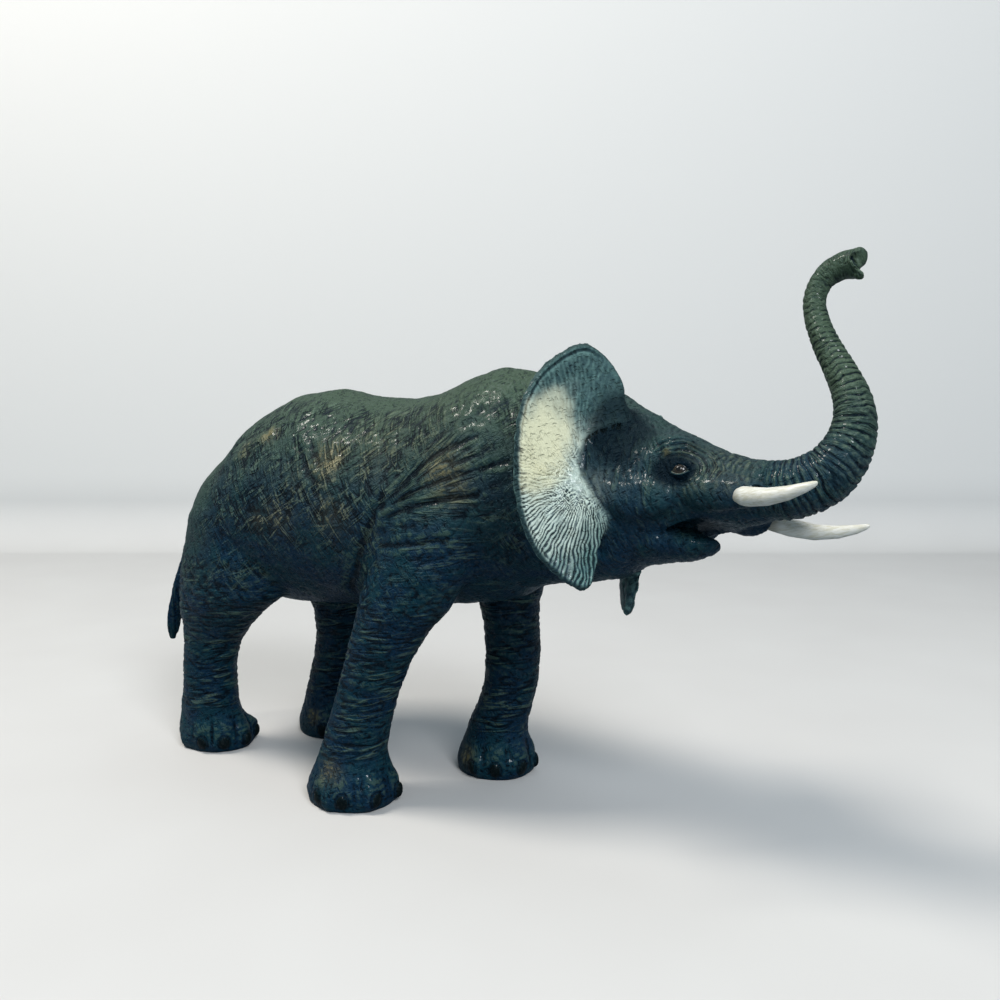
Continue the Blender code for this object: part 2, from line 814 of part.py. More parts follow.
# Head: cut from its sculpt at the neck, then socketed for the jaw, trunk, ears and tusks
head = head_sculpt()
head.name = "head"
pieces.append(head)
seat = neck_seat(0.0)
shape_with(head, seat, "INTERSECT")
remove(seat)
seat = neck_seat(clearance)
shape_with(torso, seat, "DIFFERENCE")
remove(seat)

jaw = jaw_solid("lower_jaw", 0.0)
trunk = trunk_solid()
pieces += [jaw, trunk]
sockets = [jaw_solid("jaw_seat", clearance), trunk_seat(clearance)]
for side_name, side in (("right", -1), ("left", 1)):
    ear = ear_solid(side_name + "_ear", side, 0.0)
    tusk = tusk_solid(side_name + "_tusk", side, 0.0)
    pieces += [ear, tusk]
    sockets += [ear_solid("ear_seat", side, clearance), tusk_solid("tusk_seat", side, clearance)]
for socket in sockets:
    shape_with(head, socket, "DIFFERENCE")
remove(*sockets)

tail = tail_solid("tail", 0.0)
pieces.append(tail)
seat = tail_solid("tail_seat", clearance)
shape_with(torso, seat, "DIFFERENCE")
remove(seat)

for piece in pieces:
    colour = ivory_paint if piece.name.endswith("tusk") else skin_paint
    finish(piece, ear_paint if piece.name.endswith("ear") else colour)

# The origin goes to the middle of the figure's footprint box, on the floor
corners = [vertex.co for piece in pieces for vertex in piece.data.vertices]
middle_x = 0.5 * (min(c.x for c in corners) + max(c.x for c in corners))
middle_y = 0.5 * (min(c.y for c in corners) + max(c.y for c in corners))
for piece in pieces:
    piece.location = (-middle_x, -middle_y, 0)
    print(piece.name, len(piece.data.vertices), "points")
print("origin shift", round(middle_x, 5), round(middle_y, 5))
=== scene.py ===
"""Looks of a hand-painted PVC toy elephant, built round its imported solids.

Sizes and places are in millimetres in the row frame unless a name or a comment says otherwise:
X runs forward, Y to the elephant's left, Z up. Meshes are turned to metres when they are made.
"""
import math

import bmesh
import bpy
import numpy as np
from mathutils import Matrix, Vector, kdtree
from mathutils.bvhtree import BVHTree


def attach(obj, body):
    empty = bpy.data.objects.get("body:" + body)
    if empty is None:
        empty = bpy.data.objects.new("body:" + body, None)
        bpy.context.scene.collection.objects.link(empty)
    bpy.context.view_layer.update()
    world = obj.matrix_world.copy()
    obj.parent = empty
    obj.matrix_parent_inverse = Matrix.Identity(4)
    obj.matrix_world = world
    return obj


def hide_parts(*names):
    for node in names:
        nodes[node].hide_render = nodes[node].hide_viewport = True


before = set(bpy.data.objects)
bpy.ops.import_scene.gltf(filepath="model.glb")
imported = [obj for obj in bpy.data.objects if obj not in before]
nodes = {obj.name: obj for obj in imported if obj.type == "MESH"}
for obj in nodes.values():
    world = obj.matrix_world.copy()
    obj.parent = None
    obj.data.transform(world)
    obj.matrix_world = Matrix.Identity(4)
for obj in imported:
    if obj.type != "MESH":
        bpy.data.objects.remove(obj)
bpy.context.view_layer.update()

mm = 0.001

# Skin: the figure is moulded in soft PVC in pieces that are plugged together, glued and painted
# over, so that no seam shows. Here the solids are fused into one skin and smoothed, and the skin
# is parted again along the solids' seams once it has its relief.
skin_nodes = ("torso", "front_right_leg", "front_left_leg", "rear_right_leg", "rear_left_leg",
              "head", "lower_jaw", "trunk", "tail", "right_ear", "left_ear")
seam_fill, root_fill, tip_fill = 0.30, 2.2, 0.7
skin_grain = 0.50
finger_pads = (((57.4, 0.3, 42.0), (1.1, 1.7, 1.6), 0), ((57.5, -0.4, 38.4), (1.5, 0.8, 0.55), 38))
fused_rounds, halved_rounds, joint_rounds, seam_rounds = 12, 3, 200, 10


def ease(low, high, values):
    """From 0 at low to 1 at high, smoothly; high may lie below low."""
    share = np.clip((values - low) / (high - low), 0, 1)
    return share * share * (3 - 2 * share)


def span(rise, fall, values):
    """From 0 to 1 over the limits of rise, and back to 0 over those of fall."""
    return ease(*rise, values) * (1 - ease(*fall, values))


def hill(away, width):
    """1 where away is 0, and falling to nothing on both sides of it."""
    return np.exp(-(away / width) ** 2)


# Head's own frame: the head is turned a little to the near side and its crown leans away.
# Ahead, aside and up in it place the eyes, the wrinkles, the ears and the tusks.
neck_pivot = np.array((27.23, 1.63, 80.0))
head_turn = (Matrix.Rotation(math.radians(-4), 3, "Z") @ Matrix.Rotation(math.radians(-20), 3, "X"))
head_axes = np.array(head_turn)


def in_head(points):
    """Points as ahead, aside and up in the head's frame."""
    return (points - neck_pivot) @ head_axes


def from_head(points):
    """Points given in the head's frame, in the row frame."""
    return neck_pivot + np.asarray(points, float) @ head_axes.T


# Ear roots: each fan stands in its own plane, which swings back from the head's middle plane. The
# cheek dips behind the fan's front edge, and a hollow of the temple runs out into the fan.
ear_roots = {-1: (17.98, -12.0, -2.99), 1: (16.9, 12.0, -4.17)}
ear_swings = {-1: math.radians(57), 1: math.radians(53)}
cheek_dip, temple_dip = 2.0, 2.0
edge_lift = {-1: 2.4, 1: 0.0}
crest_droop, crest_back, lobe_back = {-1: 0.0, 1: 1.2}, {-1: 1.2, 1: 0.5}, {-1: 1.8, 1: 0.0}


def ear_axes(side):
    """Out along the fan, up, and in front of it, in the head's frame; side is 1 left and -1 right."""
    swing = ear_swings[side]
    return np.array(((-math.cos(swing), side * math.sin(swing), 0), (0, 0, 1),
                     (math.sin(swing), side * math.cos(swing), 0)))


def in_ear(points, side):
    """Points as out, up and in front in an ear's own plane."""
    return (in_head(points) - ear_roots[side]) @ ear_axes(side).T


def new_object(name, data):
    """A new object in the scene."""
    made = bpy.data.objects.new(name, data)
    bpy.context.scene.collection.objects.link(made)
    return made


def merged(name):
    """A copy of a solid with its loose triangles joined."""
    shape = bmesh.new()
    shape.from_mesh(nodes[name].data)
    bmesh.ops.remove_doubles(shape, verts=shape.verts, dist=0.001 * mm)
    shape.normal_update()
    return shape


def mesh_of(shape, name):
    """Turn a bmesh into a mesh and free it."""
    mesh = bpy.data.meshes.new(name)
    shape.to_mesh(mesh)
    shape.free()
    return mesh


def fused(name, mesh, grain_size):
    """A mesh remade as one closed sheet of small even faces."""
    made = new_object(name, mesh)
    change = made.modifiers.new("remesh", "REMESH")
    change.mode = "VOXEL"
    change.voxel_size = grain_size * mm
    seen = made.evaluated_get(bpy.context.evaluated_depsgraph_get())
    result = bpy.data.meshes.new_from_object(seen)
    bpy.data.objects.remove(made)
    return result


def swelling(points):
    """How far the skin swells to close the seams: hardly between the lips, which stay apart, and more
    at the trunk's tip and at the ears' roots, whose fronts run into the temple in a hollow."""
    ahead, aside, up = in_head(points).T
    deep = seam_fill * (1 - 0.85 * ease(33.5, 36.0, ahead) * span((-17, -16), (-11, -9.5), up))
    deep = deep + tip_fill * ease(50, 53, ahead) * ease(34, 37, up)
    for side in (-1, 1):
        out, rise, fore = in_ear(points, side).T
        deep = deep + root_fill * hill(out + 1.5, 6) * hill(rise - 5, 7.5) * hill(fore, 6)
    return deep


def settling(name, points):
    """How the ears' fans and the head behind them move before they are fused."""
    move = np.zeros(points.shape)
    for side, ear in ((-1, "right_ear"), (1, "left_ear")):
        out, rise, fore = in_ear(points, side).T
        axes = head_axes @ ear_axes(side).T
        if name == "head":
            behind_fan = span((-9, -3), (8, 12), out) * span((-26, -18), (-3, 3), rise)
            hollow = hill(out + 0.5, 5.0) * hill(rise - 5, 7.0)
            dip = ease(-2, 0.5, fore) * (cheek_dip * behind_fan + temple_dip * hollow)
            move -= dip[:, None] * axes[:, 2]
        elif name == ear:
            lift = edge_lift[side] * ease(9, 1, out) * span((-22, -10), (-9, -1), rise)
            droop = crest_droop[side] * ease(13, 5, out) * ease(8, 14, rise)
            back = crest_back[side] * ease(10, 3, out) * ease(4, 11, rise)
            back += lobe_back[side] * ease(5, -2, out) * span((-25, -17), (-12, -7), rise)
            move += lift[:, None] * axes[:, 2] + back[:, None] * axes[:, 0]
            move -= droop[:, None] * head_axes[:, 2]
    return move


def finger_pad(middle, radii, dip):
    """The pad of a finger of the trunk's tip: the two leave only a slit of the nostril open."""
    shape = bmesh.new()
    bmesh.ops.create_icosphere(shape, subdivisions=4, radius=1)
    turn = Matrix.Rotation(math.radians(dip), 3, "Y")
    for vertex in shape.verts:
        turned = turn @ Vector(np.array(vertex.co) * radii)
        vertex.co = Vector(from_head(middle + np.array(turned))) * mm
    return shape


def fused_skin():
    """The solids, swollen until their seams close and fused into one closed skin."""
    whole = bmesh.new()
    for name in skin_nodes + finger_pads:
        mesh = mesh_of(merged(name) if name in skin_nodes else finger_pad(*name), "part")
        points = places(mesh)
        points += settling(name, points)
        put_places(mesh, points + normals(mesh) * swelling(points)[:, None])
        whole.from_mesh(mesh)
    return fused("skin", mesh_of(whole, "skin"), skin_grain)


def read(rows, key, width, kind=float):
    """One field of every row of a mesh's data as an array."""
    flat = np.empty(width * len(rows), kind)
    rows.foreach_get(key, flat)
    return flat.reshape(-1, width)


def places(mesh):
    """A mesh's points, in millimetres."""
    return read(mesh.vertices, "co", 3) / mm


def put_places(mesh, points):
    """Move a mesh's points."""
    mesh.vertices.foreach_set("co", (points * mm).ravel())
    mesh.update()


def normals(mesh):
    """A mesh's vertex normals."""
    return read(mesh.vertex_normals, "vector", 3)


def edges_of(mesh):
    """A mesh's edges as pairs of points."""
    return read(mesh.edges, "vertices", 2, int)


def neighbour_mean(values, edges):
    """The mean of each point's neighbours, for one value or one row of values a point."""
    rows = values.reshape(len(values), -1)
    count = np.bincount(edges.ravel(), minlength=len(rows))
    first, second = edges.T
    total = np.stack([np.bincount(first, row[second], len(row)) + np.bincount(second, row[first], len(row))
                      for row in rows.T], 1)
    return (total / count[:, None]).reshape(values.shape)


def smoothed(points, edges, rounds):
    """Smooth away facets without shrinking: each round pulls in, then pushes out."""
    for _ in range(rounds):
        for pull in (0.5, -0.53):
            points = points + pull * (neighbour_mean(points, edges) - points)
    return points


def spread(values, edges, rounds):
    """Soften a weight over its neighbours."""
    for _ in range(rounds):
        values = 0.4 * values + 0.6 * neighbour_mean(values, edges)
    return values


def nearest_nodes(mesh):
    """The number of the solid that lies nearest to each point of a mesh."""
    corners, faces, owner = [], [], []
    for number, name in enumerate(skin_nodes):
        shape = merged(name)
        first = len(corners)
        where = np.array([vertex.co[:] for vertex in shape.verts]) / mm
        corners += [Vector(place) for place in (where + settling(name, where)) * mm]
        faces += [[first + vertex.index for vertex in face.verts] for face in shape.faces]
        owner += [number] * len(shape.faces)
        shape.free()
    tree = BVHTree.FromPolygons(corners, faces)
    return np.array([owner[tree.find_nearest(vertex.co)[2]] for vertex in mesh.vertices])


skin = fused_skin()
points = smoothed(places(skin), edges_of(skin), fused_rounds)
put_places(skin, points)
points -= normals(skin) * swelling(points)[:, None]

# Tusk sheaths: a thick collar of the lip, moulded with the head, is drawn forward round each tusk
# on the near side and back on the far one.
sheath_middle, sheath_reach, lip_droop = (11.4, -7.3), {-1: 3.8, 1: -2.0}, 0.4
ahead, aside, up = in_head(points).T
from_tusk = np.hypot(np.abs(aside) - sheath_middle[0], up - sheath_middle[1])
collar = span((38.5, 42.0), (48, 52), ahead) * ease(4.4, 2.7, from_tusk)
on_outside = ease(0.5, 2.5, np.abs(aside) - sheath_middle[0])
reach = np.where(aside < 0, sheath_reach[-1], sheath_reach[1]) * (1 + 0.3 * on_outside)
points += (reach * collar)[:, None] * head_axes[:, 0]
droop = lip_droop * ease(2, 5, aside) * span((35, 38), (41, 45), ahead) * ease(-7, -9, up)
points -= droop[:, None] * head_axes[:, 2]

# Trunk tip and tail: the fingers of the tip are moulded thick and blunt, and the tuft leans back.
tip_forward, tip_swell, tuft_lean = 0.4, 0.35, 1.0
tip = ease(52, 55, in_head(points)[:, 0]) * ease(36, 38, in_head(points)[:, 2])
points += tip[:, None] * (tip_forward * head_axes[:, 0] + tip_swell * normals(skin))
behind = 1 - ease(-91, -88, points[:, 0] + 0.25 * (points[:, 2] - 60))
points[:, 0] -= tuft_lean * behind * (1 - ease(42, 60, points[:, 2]))
put_places(skin, points)

# Trunk, ears and face carry finer relief than the rest, so the skin's faces are halved there.
# Then the joints of the ears are drawn smooth, since no groove shows between fan and temple.
face_starts, face_ends = 14.0, 44.6
owner = nearest_nodes(skin)
on_face = (owner == skin_nodes.index("head")) & (in_head(points)[:, 0] > face_starts)
fine = on_face | np.isin(owner, [skin_nodes.index(name) for name in ("trunk", "right_ear", "left_ear")])
shape = bmesh.new()
shape.from_mesh(skin)
shape.verts.ensure_lookup_table()
halved = [edge for edge in shape.edges if fine[edge.verts[0].index] and fine[edge.verts[1].index]]
bmesh.ops.subdivide_edges(shape, edges=halved, cuts=1, use_grid_fill=True)
skin = mesh_of(shape, "skin")
edges = edges_of(skin)
points = smoothed(places(skin), edges, halved_rounds)
put_places(skin, points)
owner = nearest_nodes(skin)
area = {name: spread((owner == number).astype(float), edges, 12)
        for number, name in enumerate(skin_nodes)}
legs = sum(area[name] for name in skin_nodes if name.endswith("leg"))
ears = area["right_ear"] + area["left_ear"]
skull, trunk = area["head"], area["trunk"]


def relaxed(points, edges, weight, rounds):
    """Draw points to their neighbours' mean, each as far as its weight says."""
    used = np.where(weight > 0)[0]
    number = np.full(len(points), -1)
    number[used] = np.arange(len(used))
    near = number[edges]
    near = near[(near >= 0).all(1)]
    count = np.bincount(near.ravel(), minlength=len(used))
    pull, row = 0.6 * weight[used][:, None] * (count > 0)[:, None], points[used]
    near = near[(count[near] > 0).all(1)]
    first, second = near.T
    for _ in range(rounds):
        total = np.stack([np.bincount(first, row[second, k], len(used))
                          + np.bincount(second, row[first, k], len(used)) for k in range(3)], 1)
        row = row + pull * (total / np.maximum(count, 1)[:, None] - row)
    result = points.copy()
    result[used] = row
    return result


def facing(side):
    """How squarely each point of the skin faces forward out of an ear's fan, -1 to 1."""
    return normals(skin) @ (head_axes @ ear_axes(side)[2])


for side in (-1, 1):
    out, rise, fore = in_ear(points, side).T
    in_front = spread(ease(-0.2, 0.3, facing(side)), edges, 10)
    near_joint = (span((-11, -6), (5, 9), out) * span((-10, -4), (12, 17), rise)
                  * span((-1.8, -0.4), (6, 9), fore)
                  * np.maximum(ease(0.2, 0.6, in_front), ease(0.3, 0.8, skull)))
    points = relaxed(points, edges, near_joint, joint_rounds)

# Palate: it is moulded with the head and stands back over the lower lip, in the open mouth's shade.
palate_up, palate_back = 0.6, 3.2
ahead, aside, up = in_head(points).T
palate = (skull * ease(6.5, 4.5, np.abs(aside)) * ease(30, 34, ahead)
          * ease(-11.2, -12.4, up))
points += palate[:, None] * (palate_up * head_axes[:, 2] - palate_back * head_axes[:, 0])
put_places(skin, points)

# Relief: a noise that every machine makes alike, and the strokes and lines that are drawn with it.
# The sculptor cut them in clay, so each form is soft-edged and none is quite like the next.
noise_primes, noise_seed_prime = (73856093, 19349663, 83492791), 40503
noise_stirs = ((15, 668265261), (13, 374761393))
noise_gain = 1.6


def soft_noise(cells, seed=0):
    """Smooth gradient noise, about -1 to 1, at points given in cells."""
    base = np.floor(cells).astype(np.int64)
    inside = cells - base
    fade = inside ** 3 * (inside * (inside * 6 - 15) + 10)
    total = np.zeros(len(cells))
    for number in range(8):
        corner = np.array([number & 1, number >> 1 & 1, number >> 2 & 1])
        mixed = np.bitwise_xor.reduce((base + corner) * noise_primes, 1) ^ (seed * noise_seed_prime)
        for shift, factor in noise_stirs:
            mixed = (mixed ^ (mixed >> shift)) * factor & 0xffffffff
        turn = (mixed & 0xffff) * (2 * math.pi / 65536)
        level = ((mixed >> 16) & 0xffff) / 32768 - 1
        ring = np.sqrt(1 - level ** 2)
        slope = np.stack((ring * np.cos(turn), ring * np.sin(turn), level), 1)
        weight = np.prod(np.where(corner, fade, 1 - fade), 1)
        total += weight * ((inside - corner) * slope).sum(1)
    return noise_gain * total


def creases(first, second, third, long, apart, deep, width, seed):
    """Broken crease lines that run along the first coordinate, 1 at their bottom.
    Long, apart and deep are the noise's cell in millimetres; width is a crease's share of apart."""
    cells = np.stack((first / long, second / apart, third / deep), 1)
    return np.exp(-(soft_noise(cells, seed) / width) ** 2)


def near_line(line, first, second):
    """How far each point lies from a line of places, in the plane of two coordinates."""
    best = np.full(len(first), 1e9)
    for (a, b), (c, d) in zip(line, line[1:]):
        run, rise = c - a, d - b
        share = np.clip(((first - a) * run + (second - b) * rise) / (run * run + rise * rise), 0, 1)
        best = np.minimum(best, np.hypot(first - a - share * run, second - b - share * rise))
    return best


x, y, z = points.T
height = np.zeros(len(points))
drift = 1.6 * soft_noise(points / 14, 3)

# Torso: sculpted in clay before it was moulded, so its creases are strokes of a tool. Two families
# cross on the flank, long folds fan up the shoulder from the armpit, and the back is only scratched.
cross_depth, fine_depth, fan_depth = 0.16, 0.10, 0.20
armpit = (-3.4, 69.7)
shoulder_folds = (
    ((-3.4, 69.7), (1.3, 74.2), (5.7, 79.0), (11.3, 82.6), (17.6, 85.4)),
    ((-3.1, 69.3), (4.0, 73.1), (10.6, 75.9), (18.7, 78.6), (25.5, 80.5)),
    ((-3.2, 67.6), (4.4, 70.2), (13.3, 72.6), (18.9, 73.2)),
    ((-3.9, 61.4), (5.3, 62.6), (12.8, 63.9)),
)
armpit_fold = ((-3.2, 71.9), (-5.0, 68.4), (-7.9, 63.3), (-10.3, 59.9), (-13.5, 54.8), (-18.8, 48.9))
thigh_ridges = (
    ((-35.1, 85.3), (-29.0, 80.1), (-26.4, 75.7), (-23.5, 71.8), (-19.9, 68.9)),
    ((-30.1, 84.5), (-24.4, 78.4), (-19.3, 74.6), (-14.4, 71.4), (-10.7, 65.4)),
)
hip_ridge = ((-40.0, 84.5), (-46.6, 81.3), (-49.9, 78.4))
on_side = ease(4, 9, np.abs(y))
body = area["torso"] + 0.75 * legs * ease(34, 50, z)
u, v = x + drift, z + 0.8 * drift


def strokes_along(direction, long, apart, deep, width, seed):
    """Creases on the flank that run along a direction, given forward and up."""
    along, across = direction[0] * u + direction[1] * v, direction[0] * v - direction[1] * u
    return creases(along, across, y, long, apart, deep, width, seed)


cross_a = strokes_along((0.5, -0.86), 14, 2.6, 14, 0.13, 1)
cross_b = strokes_along((0.80, 0.60), 12, 2.7, 14, 0.13, 2)
flank = on_side * span((56, 66), (86, 95), z) * span((-58, -46), (18, 30), x)
broken = 0.35 + 0.65 * ease(-0.35, 0.25, soft_noise(points / 6, 5))
height -= body * cross_depth * flank * broken * (cross_a + 0.9 * cross_b * ease(-50, -40, x))
fine_a = strokes_along((0.45, -0.9), 5, 1.5, 8, 0.2, 7)
fine_b = strokes_along((0.9, 0.4), 5, 1.6, 8, 0.2, 8)
scratched = 0.35 + 0.65 * ease(-0.3, 0.4, soft_noise(points / 9, 9))
height -= body * fine_depth * (fine_a + fine_b) * scratched
fan_reach = np.hypot(x - armpit[0], z - armpit[1])
fan_swing = np.arctan2(z - armpit[1], x - armpit[0])
fan = creases(fan_reach, 24 * fan_swing, y, 16, 3.6, 30, 0.16, 11)
fan_area = on_side * span((2, 7), (22, 36), fan_reach) * span((-0.35, 0.0), (0.8, 1.15), fan_swing)
height -= body * fan_depth * fan * fan_area


def long_form(line, level, width, beside=0.0, gap=0.0, beside_width=1.0):
    """A fold or a ridge along a line on the flank, and what stands or sinks a gap beside it."""
    away = near_line(line, x, z)
    return body * on_side * (level * hill(away, width) + beside * hill(away - gap, beside_width))


for line in shoulder_folds:
    height += long_form(line, -0.30, 0.6, 0.14, 1.5, 1.0)
height += long_form(armpit_fold, -0.50, 1.0, 0.20, 2.2, 1.2)
for line in thigh_ridges:
    height += broken * long_form(line, 0.24, 0.9, -0.14, 1.8, 0.8)
height += long_form(hip_ridge, 0.60, 1.7)
height += body * (0.28 * soft_noise(points / 9, 21) + 0.10 * soft_noise(points / 3.5, 22))

# Legs: round, with folds that ring them from knee to ankle, each broken and a little tilted.
# Higher up the strokes cross, and the ankles are ringed more finely.
ring_a = creases(x + y, z + 0.5 * drift + 0.10 * x, x - y, 9, 1.9, 12, 0.15, 31)
ring_b = creases(x - y, z - 0.10 * x, x + y, 6, 1.2, 8, 0.18, 32)
shank = legs * ease(56, 44, z) * ease(9, 14, z)
height -= shank * (0.24 * ring_a + 0.10 * ring_b)
height += shank * 0.14 * soft_noise(points / 5, 33)
thigh_a = creases(x + 0.5 * z, z - 0.6 * x, y, 8, 3.0, 10, 0.16, 34)
thigh_b = creases(x - 0.8 * z, z + 0.9 * x, y, 7, 3.2, 10, 0.15, 35)
height -= legs * ease(40, 50, z) * 0.14 * (thigh_a + thigh_b)

# Feet: flat under the sole, with toes that swell between short creases and a thick oval nail
# on each. The nails are moulded with the foot and only painted darker.
foot_soles = {
    "front_right_leg": ((-18.1, -14.9), 11.2, (-100, -61, -19, 19, 60)),
    "front_left_leg": ((0.6, 18.1), 10.2, (-95, -56, -15, 21, 60)),
    "rear_right_leg": ((-72.9, -6.5), 10.2, (-69, -34, 2, 38)),
    "rear_left_leg": ((-53.6, 17.1), 9.8, (-62, -24, 14, 52)),
}
nail_level, nail_half_high, nail_half_wide = 2.7, 1.75, 1.45
toe_swell, nail_swell, nail_groove, toe_crease, sole_crease = 0.65, 0.45, 0.30, 0.22, 0.14
nail = np.zeros(len(points))
for name, (sole, foot_radius, angles) in foot_soles.items():
    mine = area[name] * ease(12.5, 9.5, z)
    turn = np.degrees(np.arctan2(y - sole[1], x - sole[0]))
    outer = ease(0.62 * foot_radius, 0.80 * foot_radius, np.hypot(x - sole[0], y - sole[1]))
    for angle in angles:
        aside = np.radians((turn - angle + 180) % 360 - 180) * foot_radius
        toe = hill(aside, 2.6) * hill(z - 6.0, 3.0)
        oval = (aside / nail_half_wide) ** 2 + ((z - nail_level) / nail_half_high) ** 2
        inside = np.clip(1 - oval, 0, 1)
        groove = hill(np.sqrt(oval) - 1.15, 0.16) * ease(0.8, 2.5, z)
        height += mine * outer * (toe_swell * toe + nail_swell * inside ** 0.6 - nail_groove * groove)
        nail = np.maximum(nail, mine * outer * ease(1.12, 0.92, oval))
        height -= mine * outer * toe_crease * hill(np.abs(aside) - 3.1, 0.45) * hill(z - 5.5, 3.0)
    pad = creases(x + y, z, x - y, 5, 1.5, 5, 0.22, 41)
    height -= mine * (1 - nail) * sole_crease * pad * ease(0.8, 2, z)

# Head: brow, cheeks and jaw keep the solid's forms. Folds ring the eye, short strokes hang under
# the cheek, the temple behind the eye is hollow, and the snout is ringed as the trunk is.
eye_place, arc_pitch = (35.0, -4.3), 1.25
temple_lumps = ((20.5, 9.5, 6.3, 1.7), (23.3, 9.8, 4.6, 1.5), (25.8, 9.8, 3.4, 1.3))
ahead, aside, up = in_head(points).T
abreast = np.abs(aside)
head = skull + area["lower_jaw"]
from_eye = np.hypot(ahead - eye_place[0], 1.25 * (up - eye_place[1]))
eye_turn = np.arctan2(up - eye_place[1], ahead - eye_place[0])
eye_side = head * ease(5, 8, abreast)
height -= eye_side * 0.55 * hill(from_eye, 2.6)
arcs = -0.5 * np.cos(2 * math.pi * (from_eye + 0.25 * soft_noise(points / 2.5, 51)) / arc_pitch)
over_eye = span((2.2, 3.2), (6.5, 9.5), from_eye) * span((-0.5, 0.1), (2.3, 2.8), eye_turn)
under_eye = span((2.0, 2.8), (3.8, 5.5), from_eye) * (1 - over_eye)
height += eye_side * (0.22 * over_eye + 0.12 * under_eye) * arcs
height += eye_side * 0.9 * hill(np.hypot(ahead - 32.3, up + 0.9), 0.9)
temple = hill(ahead - 20.0, 6.0) * hill(up + 0.5, 6.5)
height -= eye_side * 0.7 * temple
wander = 0.3 * soft_noise(points / 4, 52)
strokes = creases(up + 0.3 * ahead, ahead + wander, abreast, 7, 1.5, 9, 0.18, 53)
height -= eye_side * 0.06 * strokes * ease(36, 30, ahead) * span((-14, -10), (-3, 4), up)
height -= eye_side * 0.18 * strokes * temple
for lump_ahead, lump_side, lump_up, size in temple_lumps:
    away = np.stack((ahead - lump_ahead, abreast - lump_side, up - lump_up))
    height += head * 0.5 * hill(np.linalg.norm(away, axis=0), size)
snout = skull * ease(36, 41, ahead)
wander = 0.3 * soft_noise(points / 3, 54)
snout_rings = creases(up + abreast, ahead + wander, abreast - up, 6, 1.35, 8, 0.2, 55)
height -= snout * 0.22 * snout_rings * ease(-8, -3, up)
crown = creases(abreast, ahead + 0.5 * up, up, 4, 1.6, 5, 0.2, 56)
height -= head * 0.14 * crown * (1 - over_eye)
height += head * (0.18 * soft_noise(points / 5, 57) + 0.05 * soft_noise(points / 2, 58))

# Trunk: ring after ring, cut deep at the bend and shallow towards the tip. Each ring wanders and
# splits as it goes round. The tip has an upper and a lower finger.
trunk_shares = (
    (0.000, 0.000, 1.00), (0.058, 0.007, 0.99), (0.113, 0.030, 0.97), (0.158, 0.063, 0.93),
    (0.190, 0.112, 0.85), (0.208, 0.168, 0.77), (0.210, 0.235, 0.69), (0.188, 0.312, 0.60),
    (0.142, 0.395, 0.52), (0.088, 0.482, 0.455), (0.047, 0.568, 0.405), (0.032, 0.635, 0.380),
    (0.044, 0.690, 0.375), (0.072, 0.727, 0.385), (0.106, 0.744, 0.400), (0.134, 0.744, 0.450),
)
trunk_length, trunk_start = 60.0, (48.8, 0.0, -4.1)
course_steps, course_rounds = 500, 40
ring_pitch, ring_width, ring_depth, lip_rise, lip_cut = 1.30, 0.17, 0.42, 0.34, 0.40
course = np.array([(share[0], 0, share[1]) for share in trunk_shares]) * trunk_length + trunk_start
steps = np.linspace(0, len(course) - 1, course_steps)
course = np.stack([np.interp(steps, np.arange(len(course)), course[:, k]) for k in range(3)], 1)
for _ in range(course_rounds):
    course[1:-1] = 0.5 * course[1:-1] + 0.25 * (course[:-2] + course[2:])
course = from_head(course)
travelled = np.concatenate(((0,), np.cumsum(np.linalg.norm(np.diff(course, axis=0), axis=1))))
heading = np.gradient(course, axis=0)
heading /= np.linalg.norm(heading, axis=1)[:, None]
across_trunk = head_axes[:, 1]
tree = kdtree.KDTree(len(course))
for number, place in enumerate(course):
    tree.insert(place, number)
tree.balance()
on_trunk = np.where(trunk > 0.001)[0]
step_at = np.zeros(len(points), int)
step_at[on_trunk] = [tree.find(points[k])[1] for k in on_trunk]
offset = points - course[step_at]
distance = travelled[step_at] + (offset * heading[step_at]).sum(1)
outward = np.cross(heading[step_at], across_trunk)
around = np.arctan2((offset * across_trunk).sum(1), (offset * outward).sum(1))
circle = np.stack((np.cos(around), np.sin(around), distance / 5), 1)
phase = (distance / ring_pitch + 0.55 * soft_noise(circle * (1.1, 1.1, 1), 61)
         + 0.2 * soft_noise(circle * (2.5, 2.5, 2), 62))
taper = 1 - 0.55 * ease(15, 52, distance)
own_cells = np.stack((np.cos(around), np.sin(around), np.round(phase) * 3.7), 1)
deepness = 0.55 + 0.45 * soft_noise(own_cells, 63)
rings = hill(phase - np.round(phase), ring_width) * np.clip(deepness, 0.15, 1)
ring_area = trunk * ease(-1, 1.5, distance) * (1 - 0.8 * ease(51, 55, distance))
height -= ring_area * ring_depth * taper * rings
height += ring_area * 0.05 * soft_noise(points / 1.2, 64)
lip_line = from_head(((55.9, -0.9, 40.4), (57.2, -0.9, 39.2), (58.8, -0.5, 38.1)))
view_across = (0.844, 0.537)
across_view = points[:, :2] @ view_across
lip_place = [(place[:2] @ view_across, place[2]) for place in lip_line]
on_tip = trunk * ease(53, 55, ahead) * ease(34, 36, up) * ease(2.0, 1.0, aside)
height += on_tip * lip_rise * hill(near_line(lip_place, across_view, z), 0.30)
beside = near_line([(place[0] + 0.5, place[1] + 0.6) for place in lip_place], across_view, z)
height -= on_tip * lip_cut * hill(beside, 0.40)

# Tail: a bare stem with fine rings that ends in a flat tuft, combed downwards. It is moulded on
# its own and glued in a socket of the rump.
tuft = area["tail"] * ease(46, 38, z)
hair = creases(z, x + 0.6 * y, y, 12, 0.9, 2.0, 0.3, 71)
height -= tuft * 0.22 * hair
height -= area["tail"] * (1 - tuft) * 0.12 * creases(x, z, y, 5, 1.4, 5, 0.2, 72)

